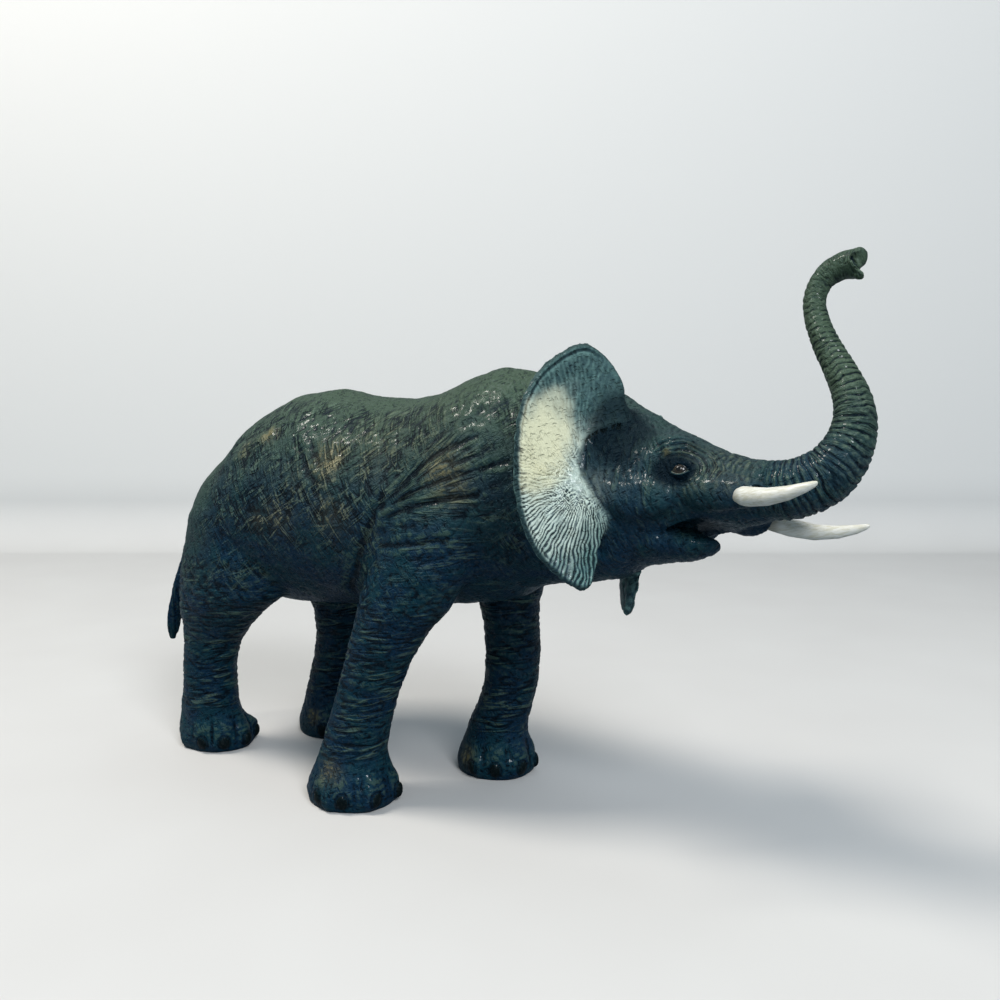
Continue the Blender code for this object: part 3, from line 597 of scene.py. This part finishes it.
# Ears: thin fans of the same PVC, glued by their roots in grooves of the head. Their fronts have
# ribs that spread from the root, are sprayed cream in the middle and are brushed dark at the rim.
rib_turn = math.radians(3.1)
rib_hub, rim_slots = (2.2, -4.8), 120
rim_groove, rough_depth, soft_depth = 0.22, 0.16, 0.08
pale, cream, deep = (np.zeros(len(points)) for _ in range(3))


def rib_noise(turn_cell, reach_cell, seed):
    """Noise drawn out along the ribs of the ear in hand."""
    return soft_noise(np.stack((swing / turn_cell, reach / reach_cell, 0 * reach), 1), seed)


def plane_noise(cell, seed):
    """Noise in the plane of the ear in hand."""
    return soft_noise(np.stack((out, rise, 0 * out), 1) / cell, seed)


for side, name in ((-1, "right_ear"), (1, "left_ear")):
    local = in_ear(points, side)
    out, rise, fore = local.T
    # Painted shade: the hollow where the fan's root runs into the temple is painted dark, on fan and head
    # alike.
    temple_hollow_shade = 1 - ease(0.65, 1.25, np.hypot((out + 2.0) / 6.0, (rise - 6.3) / 8.8))
    deep = np.maximum(deep, 0.85 * temple_hollow_shade * span((-2.5, -1.0), (5, 11), fore))
    run_out = span((-2.5, 0.5), (4, 8), out) * span((-11, -8), (-5, -1), rise)
    pale = np.maximum(pale, 0.12 * skull * run_out * span((-3, -1), (2, 7), fore))
    used = np.where(area[name] > 0.001)[0]
    local, mine = local[used], area[name][used]
    out, rise, fore = local.T
    front = ease(0.0, 0.5, facing(side)[used])
    reach = np.hypot(out - rib_hub[0], rise - rib_hub[1])
    swing = np.arctan2(out - rib_hub[0], rise - rib_hub[1])
    slot = np.floor((swing + math.pi) / (2 * math.pi) * rim_slots).astype(int) % rim_slots
    edge_reach = np.zeros(rim_slots)
    np.maximum.at(edge_reach, slot, reach)
    turns = (np.arange(rim_slots) + 0.5) / rim_slots * 2 * math.pi - math.pi
    from_rim = np.interp(swing, turns, edge_reach, period=2 * math.pi) - reach
    low = 1 - ease(-6, 4, rise)
    wobble = plane_noise(5, 81) + 0.5 * plane_noise(1.8, 92)
    ribs = np.cos(2 * math.pi * (swing / rib_turn + 0.9 * wobble))
    strength = ease(2.2, 5.5, reach) * ease(0.2, 1.6, from_rim)
    strength *= 0.3 + 0.7 * np.maximum(ease(1, 5, out), low)
    broken = 0.3 + 0.7 * ease(-0.4, 0.3, soft_noise(local / 3.0, 90))
    relief = strength * broken * (0.02 + 0.17 * low) * ribs
    relief += (0.05 + 0.09 * low) * strength * rib_noise(0.05, 3.0, 82)
    relief += (0.045 + 0.025 * low) * strength * rib_noise(0.028, 1.8, 91)
    relief -= rim_groove * hill(from_rim - 1.5, 0.35) * ease(3, 8, out)
    rough_back = (1 - front) * rough_depth * soft_noise(local / (1.6, 1.6, 4.0), 84)
    height[used] += mine * (front * relief + soft_depth * soft_noise(local / 3.0, 83) + rough_back)
    blur = 0.18 * soft_noise(local / 4.0, 85) + 0.12 * rib_noise(0.12, 6, 86)
    from_cream = np.hypot((out - 12.3 + 0.10 * (rise + 1)) / 8.0, (rise + 0.6) / 12.0) + blur
    from_pale = np.hypot((out - 11.0) / (12 + 3 * low), (rise + 6.0) / (18.3 + 2.2 * low)) + blur
    rear = ease(12, 14.5, out) * span((-13, -10), (10, 13), rise)
    speck = 0.8 * rear * ease(0.12, 0.35, rib_noise(0.042, 3.4, 87)) * ease(3.0, 1.6, from_rim)
    rim = 1 - ease(0.5, 1.3, from_rim)
    pale[used] += mine * front * (1 - rim) * ease(1.15, 0.35, from_pale)
    cream[used] = mine * front * (1 - rim) * ease(1.12, 0.40, from_cream)
    deep[used] = np.maximum(deep[used], mine * front * np.maximum(speck, 0.55 * rim))

# Relief goes on: every form above is added along the skin's normals at once, but the soles, which
# were cast against a flat plate, stay flat on the floor.
standing = ease(0.05, 0.8, z)
height *= np.where(legs > 0.5, standing, 1)
points = points + normals(skin) * height[:, None]
points[:, 2] = np.maximum(points[:, 2], 0)
put_places(skin, points)
x, y, z = points.T

# Paint: a brush with little paint left olive and old gold on the ridges, most on the hips, the
# shoulder folds and the heels. A thin dark wash lies in the creases. Light is painted in as well:
# the back is lighter where it faces up, and painted shade darkens the eye socket and the temple.
low_lying = spread(height, edges, 10)
ridge = np.clip((height - low_lying) / (0.16 - 0.05 * ears), -1, 1)
gold_patches = (
    ((-19.6, 19, 79.4), 4.4, 0.9), ((-40.0, 17, 84.5), 2.2, 0.9), ((-47, 17.5, 81), 3.0, 0.4),
    ((11.1, 18, 78.8), 4.5, 0.7), ((13.2, 18, 74.7), 4.0, 0.5), ((-17.1, 21.5, 67.2), 4.5, 0.45),
    ((-39.4, 22, 64.9), 2.5, 0.5), ((-33.2, 22, 65.8), 4.5, 0.35), ((-6.7, 16.5, 82.8), 9.0, 0.25),
    ((-17.2, 23, 8.9), 2.6, 0.8), ((-2.7, 10.2, 4.6), 2.4, 1.0), ((-52.9, 9, 6.0), 2.0, 1.0),
    ((5.0, 16, 88), 9.0, 0.15), ((-28, 18, 74), 4.0, 0.35),
)
gold = np.zeros(len(points))
for centre, spot, strength in gold_patches:
    away = np.stack((x, np.abs(y), z), 1) - centre
    gold = np.maximum(gold, strength * hill(np.linalg.norm(away, axis=1), spot))
on_snout = 1 - ease(7, 10, np.hypot(ahead - 40, up + 6))
gold = np.maximum(gold, 0.16 * head * on_snout * ease(-10, -7, up))
# Painted highlight: a spot of old gold on the brow's bump stands for its glint.
from_brow_glint = np.hypot(np.hypot(ahead - 32.1, up + 1.3), abreast - 12.4)
gold = np.maximum(gold, 0.7 * head * hill(from_brow_glint, 0.8))
upward = normals(skin)[:, 2]
# Painted light from above: the skin is painted lighter green where it is high and faces up, and lighter up
# the trunk and on the rump.
tone = np.clip(ease(54, 98, z) * (0.45 + 0.55 * ease(-0.1, 0.8, upward)) * (1 - trunk)
               * (1 - 0.5 * (head + ears)) + trunk * (0.12 + 0.88 * ease(8, 32, distance))
               + 0.38 * body * ease(-52, -66, x) * ease(42, 58, z), 0, 1)
# Painted shade: the eye socket and the hollow of the temple behind it are painted dark.
socket_shade = 0.95 * ease(1.15, 0.6, np.hypot((ahead - 33.9) / 4.9, (up + 4.5) / 3.6))
socket_shade = np.maximum(socket_shade, 0.62 * hill(ahead - 21, 5.2) * hill(up - 1, 5.5)) * eye_side


def keep_values(mesh, **values):
    """Store one value or one vector a point, for the materials to read."""
    for name, row in values.items():
        kind, key = ("FLOAT", "value") if row.ndim == 1 else ("FLOAT_VECTOR", "vector")
        mesh.attributes.new(name, kind, "POINT").data.foreach_set(key, row.astype(np.float32).ravel())


hatch = np.clip(body * on_side * span((54, 62), (90, 98), z) * span((-66, -56), (26, 34), x)
                * (1 - 0.8 * fan_area) + 0.8 * legs * ease(42, 50, z), 0, 1)
brisket = body * on_side * ease(73, 66, z) * span((-8, -2), (16, 26), x)
hatch *= 1 - brisket
brisket *= 0.6
cheek = head * ease(3, 7, abreast) * ease(40, 34, ahead) * ease(6, 0, up) * 0.45
lined = np.maximum.reduce((body * fan_area, 0.9 * over_eye * eye_side, 0.8 * trunk,
                           0.35 * skull * ease(face_ends, 46.5, ahead)))
ringed = trunk * (0.6 + 0.4 * ease(8, 20, distance)) + 0.35 * snout * ease(-9, -5, up)
line_cells = np.stack((fan_reach / 9, 20 * fan_swing / 1.5, 0 * z), 1)
on_head = skull > 0.5
line_cells[on_head] = np.stack((4 * eye_turn / 6, from_eye / 0.8, 0 * z), 1)[on_head]
past_face = on_head & (ahead > face_ends)
from_start = ahead - trunk_start[0]
line_cells[past_face] = np.stack((abreast / 4, from_start / 0.9, 0 * z), 1)[past_face]
on_trunk = trunk > 0.5
line_cells[on_trunk] = np.stack((3 * np.abs(around) / 4, distance / 0.9, 0 * z), 1)[on_trunk]
# The shade value holds painted shade: the eye socket and the temple, the hollows where the ears meet the
# head, and the open mouth over the palate. The ears' dark rims and specks, which are paint, go in with it.
keep_values(skin, ridge=ridge, gold=gold, nail=nail, tone=tone, hatch=hatch, cheek=cheek,
            shade=np.maximum.reduce((socket_shade, deep, 0.55 * palate)), lined=np.clip(lined, 0, 1),
            shank=np.maximum(shank, brisket), ringed=np.clip(ringed, 0, 1), pale=np.clip(pale, 0, 1),
            cream=cream, thin=ears, line_place=line_cells, whole_normal=normals(skin))


def linear(code):
    """A hex sRGB colour in linear light."""
    parts = [int(code[k:k + 2], 16) / 255 for k in (0, 2, 4)]
    return tuple(c / 12.92 if c <= 0.04045 else ((c + 0.055) / 1.055) ** 2.4 for c in parts) + (1.0,)


def feed(tree, node, values):
    """Give a node its inputs: sockets are linked, other values are set."""
    for key, value in values.items():
        if isinstance(value, bpy.types.NodeSocket):
            tree.links.new(value, node.inputs[key])
        else:
            node.inputs[key].default_value = value


def add(tree, kind, values, **settings):
    """Add a shader node."""
    node = tree.nodes.new("ShaderNode" + kind)
    for key, value in settings.items():
        setattr(node, key, value)
    feed(tree, node, values)
    return node


def stored(tree, name):
    """A value kept on the mesh."""
    return add(tree, "Attribute", {}, attribute_name=name).outputs["Fac"]


def blend(tree, share, first, second):
    """A mix of two colours."""
    node = add(tree, "Mix", {0: share, 6: first, 7: second}, data_type="RGBA", clamp_factor=True)
    return node.outputs[2]


def sums(tree, kind, first, second):
    """One step of arithmetic."""
    return add(tree, "Math", {0: first, 1: second}, operation=kind).outputs[0]


def times(tree, first, second):
    """One value times another."""
    return sums(tree, "MULTIPLY", first, second)


def fade(tree, value, low, high, start=0.0, end=1.0):
    """Ease a value from start at low to end at high."""
    limits = {"Value": value, "From Min": low, "From Max": high, "To Min": start, "To Max": end}
    return add(tree, "MapRange", limits, interpolation_type="SMOOTHSTEP").outputs[0]


def cells(tree, size, turn=(0, 0, 0)):
    """Where a point lies, turned and counted in cells so many millimetres along X, Y and Z."""
    coords = add(tree, "TexCoord", {}).outputs["Object"]
    turned = add(tree, "Mapping", {"Vector": coords, "Rotation": turn}).outputs[0]
    scale = tuple(1 / (side * mm) for side in size)
    return add(tree, "Mapping", {"Vector": turned, "Scale": scale}).outputs[0]


def grain(tree, place, detail=3.0, roughness=0.6):
    """Noise over cells."""
    values = {"Vector": place, "Scale": 1.0, "Detail": detail, "Roughness": roughness}
    return add(tree, "TexNoise", values).outputs["Fac"]


def specks(tree, size, detail=2.0, roughness=0.6):
    """Noise over cells as wide as they are long and high."""
    return grain(tree, cells(tree, (size, size, size)), detail, roughness)


def grooves(tree, place, width):
    """Thin wandering lines along the cells, and the lip that stands beside each."""
    level = sums(tree, "SUBTRACT", grain(tree, place, detail=1.0), 0.5)
    cut = fade(tree, sums(tree, "ABSOLUTE", level, 0.0), 0.0, width, 1.0, 0.0)
    beside = sums(tree, "SUBTRACT", level, 1.4 * width)
    lip = fade(tree, sums(tree, "ABSOLUTE", beside, 0.0), 0.0, 0.5 * width, 1.0, 0.0)
    return cut, lip


def nicks(tree, place, length):
    """Short straight strokes of a tool, one in most cells."""
    cell = add(tree, "TexVoronoi", {"Vector": place, "Scale": 1.0, "Randomness": 1.0})
    return fade(tree, cell.outputs["Distance"], 0.4 * length, length, 1.0, 0.0)


def new_material(name):
    """An empty material with a principled surface."""
    made = bpy.data.materials.new(name)
    made.use_nodes = True
    return made, made.node_tree


def set_surface(tree, **values):
    """Give the principled surface its inputs."""
    feed(tree, tree.nodes["Principled BSDF"], {key.replace("_", " "): values[key] for key in values})


def painted_skin(name, sprayed=False):
    """Brushed enamel on PVC: dark green over a navy wash, dry-brushed in olive and old gold, satin, with
    painted top light, painted highlights on the strokes' lips and painted shade. On the ears sea green and
    then cream are sprayed over it, and their ribs stay a little darker."""
    made, tree = new_material(name)
    ridge, gold, nail = stored(tree, "ridge"), stored(tree, "gold"), stored(tree, "nail")
    shade, thin = stored(tree, "shade"), stored(tree, "thin")
    fine = specks(tree, 0.9, detail=5, roughness=0.7)

    families = (
        ("hatch", cells(tree, (1.35, 12, 6.5), (0, 0.53, 0)), 0.09),
        ("hatch", cells(tree, (6, 12, 1.35), (0, 0.62, 0)), 0.09),
        ("lined", add(tree, "Attribute", {}, attribute_name="line_place").outputs["Vector"], 0.12),
        ("shank", cells(tree, (11, 11, 1.5), (0, 0.10, 0)), 0.10),
        ("cheek", cells(tree, (1.3, 5, 6), (0, 0.15, 0)), 0.11),
    )
    upright = nicks(tree, cells(tree, (0.7, 1.4, 2.6), (0.3, 0.6, 0)), 0.40)
    lying = nicks(tree, cells(tree, (2.4, 1.4, 0.7), (0.2, 0.5, 0)), 0.40)
    cuts, lips = times(tree, sums(tree, "MAXIMUM", upright, lying), 0.6), 0.0
    patchy = fade(tree, specks(tree, 5, detail=1), 0.36, 0.56, 0.25, 1.0)
    for name, place, width in families:
        share = times(tree, stored(tree, name), patchy)
        cut, lip = grooves(tree, place, width)
        cuts = sums(tree, "MAXIMUM", cuts, times(tree, share, cut))
        lips = sums(tree, "MAXIMUM", lips, times(tree, share, lip))
    ringed = stored(tree, "ringed")
    bare = times(tree, sums(tree, "SUBTRACT", 1.0, nail), fade(tree, ringed, 0, 1, 1, 0.8))
    cuts, lips = times(tree, cuts, bare), times(tree, lips, bare)

    level = sums(tree, "ADD", ridge, fine)
    high = sums(tree, "SUBTRACT", sums(tree, "ADD", ridge, times(tree, fine, 1.4)), cuts)
    high = sums(tree, "ADD", high, times(tree, lips, 0.4))
    wash = fade(tree, sums(tree, "SUBTRACT", cuts, ridge), 0.1, 1.1, 0.0, 0.95)
    layers = [
        (stored(tree, "tone"), "445441"),  # painted top light: lighter green where the back faces up, up the trunk and on the rump
        (wash, "020a14"),  # dark wash in the creases
        (fade(tree, high, 0.70, 1.5, 0.0, 0.5), "4b604f"),  # grey green, dry-brushed
        (times(tree, lips, 0.38), "6c806c"),  # painted highlight on the lit lip beside each stroke
        (times(tree, gold, fade(tree, high, 0.50, 1.05, 0.25, 1.0)), "766c48"),  # old gold
        (times(tree, gold, lips), "a59c7c"),  # and a brighter painted highlight where the lips are gold
        (times(tree, ringed, fade(tree, level, 0.5, 1.4, 0.0, 0.7)), "788871"),  # crests of the rings
    ]
    if sprayed:
        layers += [
            (times(tree, thin, fade(tree, level, 0.1, 1.2, 0.08, 0.78)), "7fa39c"),
            (times(tree, stored(tree, "pale"), fade(tree, level, -0.2, 1.0, 0.04, 1.0)), "e2eedf"),
            (times(tree, stored(tree, "cream"), fade(tree, level, -0.7, 0.35, 0.5, 1.0)), "fbf6cf"),
        ]
    # Painted shade goes over everything, with the ears' dark rims and specks, and then the nails' dark
    # paint.
    layers += [(shade, "04101a"), (times(tree, nail, 0.95), "04090b")]
    colour = blend(tree, fade(tree, specks(tree, 8), 0.4, 0.6), linear("08273d"), linear("0b303c"))
    for share, code in layers:
        colour = blend(tree, share, colour, linear(code))

    tooth = times(tree, specks(tree, 0.55, detail=3), fade(tree, thin, 0, 1, 1.2, 0.7))
    raised = sums(tree, "SUBTRACT", sums(tree, "ADD", tooth, times(tree, lips, 0.5)), cuts)
    bump = add(tree, "Bump", {"Height": raised, "Strength": 1.0, "Distance": 0.30 * mm})
    varnish = fade(tree, specks(tree, 0.6), 0.52, 0.66, 0.03, 0.55)
    dull = sums(tree, "MAXIMUM", nail, shade)
    set_surface(tree, Base_Color=colour, Normal=bump.outputs[0],
                Roughness=fade(tree, fine, 0.35, 0.65, 0.38, 0.54),
                Coat_Weight=times(tree, varnish, fade(tree, shade, 0.2, 0.9, 1.0, 0.0)),
                Coat_Roughness=0.14, Specular_IOR_Level=fade(tree, dull, 0, 1, 0.24, 0.11),
                Specular_Tint=linear("98cae4"))
    return made


def skin_pieces():
    """Part the skin along the solids' seams and close each piece behind them."""
    share = np.stack([spread((owner == number).astype(float), edges, seam_rounds)
                      for number in range(len(skin_nodes))], 1)
    corner = read(skin.loops, "vertex_index", 1, int)[:, 0]
    first = read(skin.polygons, "loop_start", 1, int)[:, 0]
    kept = np.argmax(np.add.reduceat(share[corner], first), 1)
    for number, name in enumerate(skin_nodes):
        shape = bmesh.new()
        shape.from_mesh(skin)
        shape.faces.ensure_lookup_table()
        others = [shape.faces[k] for k in np.where(kept != number)[0]]
        bmesh.ops.delete(shape, geom=others, context="FACES")
        rims = [edge for edge in shape.edges if edge.is_boundary]
        lids = bmesh.ops.holes_fill(shape, edges=rims, sides=0)["faces"]
        bmesh.ops.poke(shape, faces=lids)
        bmesh.ops.recalc_face_normals(shape, faces=shape.faces)
        if shape.calc_volume(signed=True) < 0:
            bmesh.ops.reverse_faces(shape, faces=shape.faces)
        mesh = mesh_of(shape, name)
        mesh.shade_smooth()
        wanted = read(mesh.attributes["whole_normal"].data, "vector", 3, np.float32)
        mesh.normals_split_custom_set_from_vertices(wanted.tolist())
        mesh.attributes.remove(mesh.attributes["whole_normal"])
        on_ear = name.endswith("ear")
        mesh.materials.append(ear_finish if on_ear or name == "head" else skin_finish)
        piece = new_object(name + "_skin", mesh)
        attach(piece, "root")
        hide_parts(name)


skin_finish = painted_skin("brushed_enamel_on_pvc")
ear_finish = painted_skin("airbrushed_enamel_on_pvc", sprayed=True)
skin_pieces()


# Tusks: bare, slim cones moulded in white PVC and pushed into their sheaths. Each root is painted
# browner and darker, as painted shade where it enters its sheath, and faint streaks run to the tip.
tusk_grain, tusk_rounds = 0.20, 10
root_swell = 0.35
tip_cut = {"right_tusk": 0.08, "left_tusk": 0.0}


def painted_ivory():
    """White PVC, thinly washed ivory, faintly streaked, satin; warmer and darker painted shade at the
    root.
    """
    made, tree = new_material("ivory_washed_pvc")
    streak = grain(tree, cells(tree, (2.5, 0.6, 0.35), (0, 0.15, 0)), detail=3)
    colour = blend(tree, fade(tree, streak, 0.38, 0.66), linear("e9e7de"), linear("d3cfbc"))
    # painted shade: browner and darker at the root
    colour = blend(tree, stored(tree, "shade"), colour, linear("6c6550"))
    bump = add(tree, "Bump", {"Height": streak, "Strength": 0.4, "Distance": 0.06 * mm})
    rough = fade(tree, streak, 0.3, 0.7, 0.34, 0.46)
    set_surface(tree, Base_Color=colour, Roughness=rough, Normal=bump.outputs[0],
                Specular_IOR_Level=0.5)
    return made


ivory = painted_ivory()
for name in tip_cut:
    mesh = fused(name, mesh_of(merged(name), name), tusk_grain)
    put_places(mesh, smoothed(places(mesh), edges_of(mesh), tusk_rounds))
    ahead = in_head(places(mesh))[:, 0]
    swell = root_swell * ease(62, 46, ahead)
    back = tip_cut[name] * np.maximum(ahead - 48, 0)
    put_places(mesh, places(mesh) + normals(mesh) * swell[:, None] - back[:, None] * head_axes[:, 0])
    # Painted shade at the root, where the tusk enters its sheath.
    keep_values(mesh, shade=0.6 * ease(48.0, 46.0, ahead))
    mesh.shade_smooth()
    mesh.materials.append(ivory)
    piece = new_object(name + "_ivory", mesh)
    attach(piece, "root")
    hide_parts(name)


# Eyes: moulded with the head as a ball between two thick lids. The lids are painted as the skin is,
# and the brown iris and the dark pupil behind them are varnished.
eye_middle = (34.8, -4.4)
eye_radius, eye_stands = 1.90, 0.35
iris_reach, pupil_reach = 0.85, 0.40
opening_half_wide, opening_half_high, opening_tilt = 1.50, 0.85, 0.10
upper_lid_thick, lower_lid_thick = 0.36, 0.22
cornea_rise, gaze = 0.10, (0.22, 0.97, 0.06)


def varnished_eye():
    """Gloss over a brown iris, a black pupil and a dark rim: wet, with one sharp highlight."""
    made, tree = new_material("varnished_eye")
    away = stored(tree, "away")
    flecks = specks(tree, 0.25, detail=3)
    iris = blend(tree, fade(tree, flecks, 0.35, 0.65), linear("17110a"), linear("30261a"))
    colour = blend(tree, fade(tree, away, pupil_reach, pupil_reach + 0.08), linear("040303"), iris)
    past_iris = fade(tree, away, iris_reach - 0.06, iris_reach + 0.08)
    colour = blend(tree, past_iris, colour, linear("0a0c0b"))
    rough = fade(tree, flecks, 0.3, 0.7, 0.16, 0.24)
    set_surface(tree, Base_Color=colour, Roughness=rough, Coat_Weight=0.15, Coat_Roughness=0.12)
    return made


def eye_piece(name, side, skin_finish, gloss):
    """One ball with its two lids; side is 1 for left and -1 for right."""
    there = in_head(places(skin))
    close = np.hypot(there[:, 0] - eye_middle[0], there[:, 2] - eye_middle[1]) < 0.5
    level = np.abs(there[close & (there[:, 1] * side > 5), 1]).mean()
    shape = bmesh.new()
    bmesh.ops.create_icosphere(shape, subdivisions=6, radius=eye_radius * mm)
    mesh = mesh_of(shape, name)
    local = places(mesh)
    look = np.array(gaze) * (1, side, 1)
    look /= np.linalg.norm(look)
    along = np.cross((0, 0, side), look)
    along /= -np.linalg.norm(along)
    over = np.array((0, 0, 1)) - look[2] * look
    fore, wide, high = local @ look, local @ along, local @ over
    high = high - opening_tilt * wide
    shape_of = np.clip(1 - (wide / opening_half_wide) ** 2, 0, 1) ** 0.75
    past = np.abs(high) - opening_half_high * shape_of
    lid = np.where(high > 0, upper_lid_thick, lower_lid_thick)
    rise = lid * ease(-0.03, 0.16, past) * (1 - 0.45 * ease(0.3, 1.0, past))
    cornea = cornea_rise * ease(0.8, 0.3, np.hypot(wide, high))
    local = local * (1 + (rise + cornea * (fore > 0)) / eye_radius)[:, None]
    middle = np.array((eye_middle[0], side * (level + eye_stands - eye_radius), eye_middle[1]))
    put_places(mesh, from_head(local + middle))
    # Painted shade: both lids are painted dark, the upper one right to the opening; the lower lid's inner
    # rim gets a little old gold.
    keep_values(mesh, away=np.where(fore > 0, np.hypot(wide, high), 9),
                shade=0.9 * np.maximum(ease(0.16, 0.3, past), high > 0), ridge=np.full(len(past), 0.3),
                gold=0.4 * (fore > 0) * (high < 0) * ease(0.16, 0.02, past))
    mesh.shade_smooth()
    mesh.materials.append(skin_finish)
    mesh.materials.append(gloss)
    open_part = (past < 0.03) & (fore > 0)
    glossy = [int(open_part[list(face.vertices)].all()) for face in mesh.polygons]
    mesh.polygons.foreach_set("material_index", glossy)
    piece = new_object(name, mesh)
    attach(piece, "root")


eye_gloss = varnished_eye()
eye_piece("right_eye", -1, skin_finish, eye_gloss)
eye_piece("left_eye", 1, skin_finish, eye_gloss)


# Stage: a pale sweep behind a pale floor, soft light from high on the camera's left, and the
# photograph's camera, which stands low off the figure's right shoulder.
camera_place = (126.79, -177.57, 92.7)
camera_turn, camera_dip, camera_lens, camera_sensor = 32.47, 6.0, 34.2, 36
floor_drop = 0.00002

view = new_object("camera", bpy.data.cameras.new("camera"))
view.location = Vector(camera_place) * mm
view.rotation_euler = (math.radians(90 - camera_dip), 0, math.radians(camera_turn))
view.data.lens = camera_lens
view.data.sensor_width = camera_sensor
view.data.clip_start = 0.005
bpy.context.scene.camera = view


def sweep():
    """Floor and backdrop in one sheet with a rounded corner, in metres."""
    front, reach, corner, tall, half_wide = -2.0, 0.38, 0.03, 1.6, 2.5
    turn = Matrix.Rotation(math.radians(camera_turn), 4, "Z")
    outline = [(front, 0.0), (reach - corner, 0.0)]
    for k in range(1, 13):
        angle = math.radians(90 * k / 12)
        outline.append((reach - corner + corner * math.sin(angle), corner * (1 - math.cos(angle))))
    outline.append((reach, tall))
    shape = bmesh.new()
    line = [shape.verts.new(turn @ Vector((-half_wide, along, rise - floor_drop)))
            for along, rise in outline]
    runs = [shape.edges.new(pair) for pair in zip(line, line[1:])]
    moved = bmesh.ops.extrude_edge_only(shape, edges=runs)["geom"]
    bmesh.ops.translate(shape, verts=[part for part in moved if isinstance(part, bmesh.types.BMVert)],
                        vec=turn @ Vector((2 * half_wide, 0, 0)))
    bmesh.ops.recalc_face_normals(shape, faces=shape.faces)
    return mesh_of(shape, "sweep")


def pale_sheet():
    """Matt pale paint, so that nothing competes with the figure."""
    made, tree = new_material("matt_pale_sheet")
    floor = blend(tree, specks(tree, 60), linear("d3d0cd"), linear("dbd9d6"))
    place = add(tree, "TexCoord", {}).outputs["Object"]
    rise = add(tree, "SeparateXYZ", {"Vector": place}).outputs["Z"]
    colour = blend(tree, fade(tree, rise, 0.0, 0.05), floor, linear("f5f2ee"))
    seen = add(tree, "LightPath", {}).outputs["Is Camera Ray"]
    colour = blend(tree, seen, linear("7d8489"), colour)
    set_surface(tree, Base_Color=colour, Roughness=0.85, Specular_IOR_Level=0.2)
    return made


backdrop = new_object("backdrop", sweep())
backdrop.data.shade_smooth()
backdrop.data.materials.append(pale_sheet())

aim = Vector((0, 0, 0.06))
soft_lights = (
    ("key_light", (-0.38, -0.30, 0.90), 0.32, 7.0, "fff9f0"),
    ("window_light", (-0.10, 0.30, 0.80), 0.60, 1.2, "eef6ff"),
    ("front_light", (0.62, -0.42, 0.62), 0.30, 5.2, "f6faff"),
)
for name, place, size, power, tint in soft_lights:
    lamp = bpy.data.lights.new(name, "AREA")
    lamp.shape = "SQUARE"
    lamp.size, lamp.energy, lamp.color = size, power, linear(tint)[:3]
    made = new_object(name, lamp)
    made.location = place
    made.rotation_euler = (aim - Vector(place)).to_track_quat("-Z", "Y").to_euler()

world = bpy.data.worlds.new("room")
world.use_nodes = True
bpy.context.scene.world = world
sky = world.node_tree.nodes["Background"]
sky.inputs["Color"].default_value = linear("bcd6e6")
sky.inputs["Strength"].default_value = 0.45
bpy.context.scene.view_settings.view_transform = "Standard"
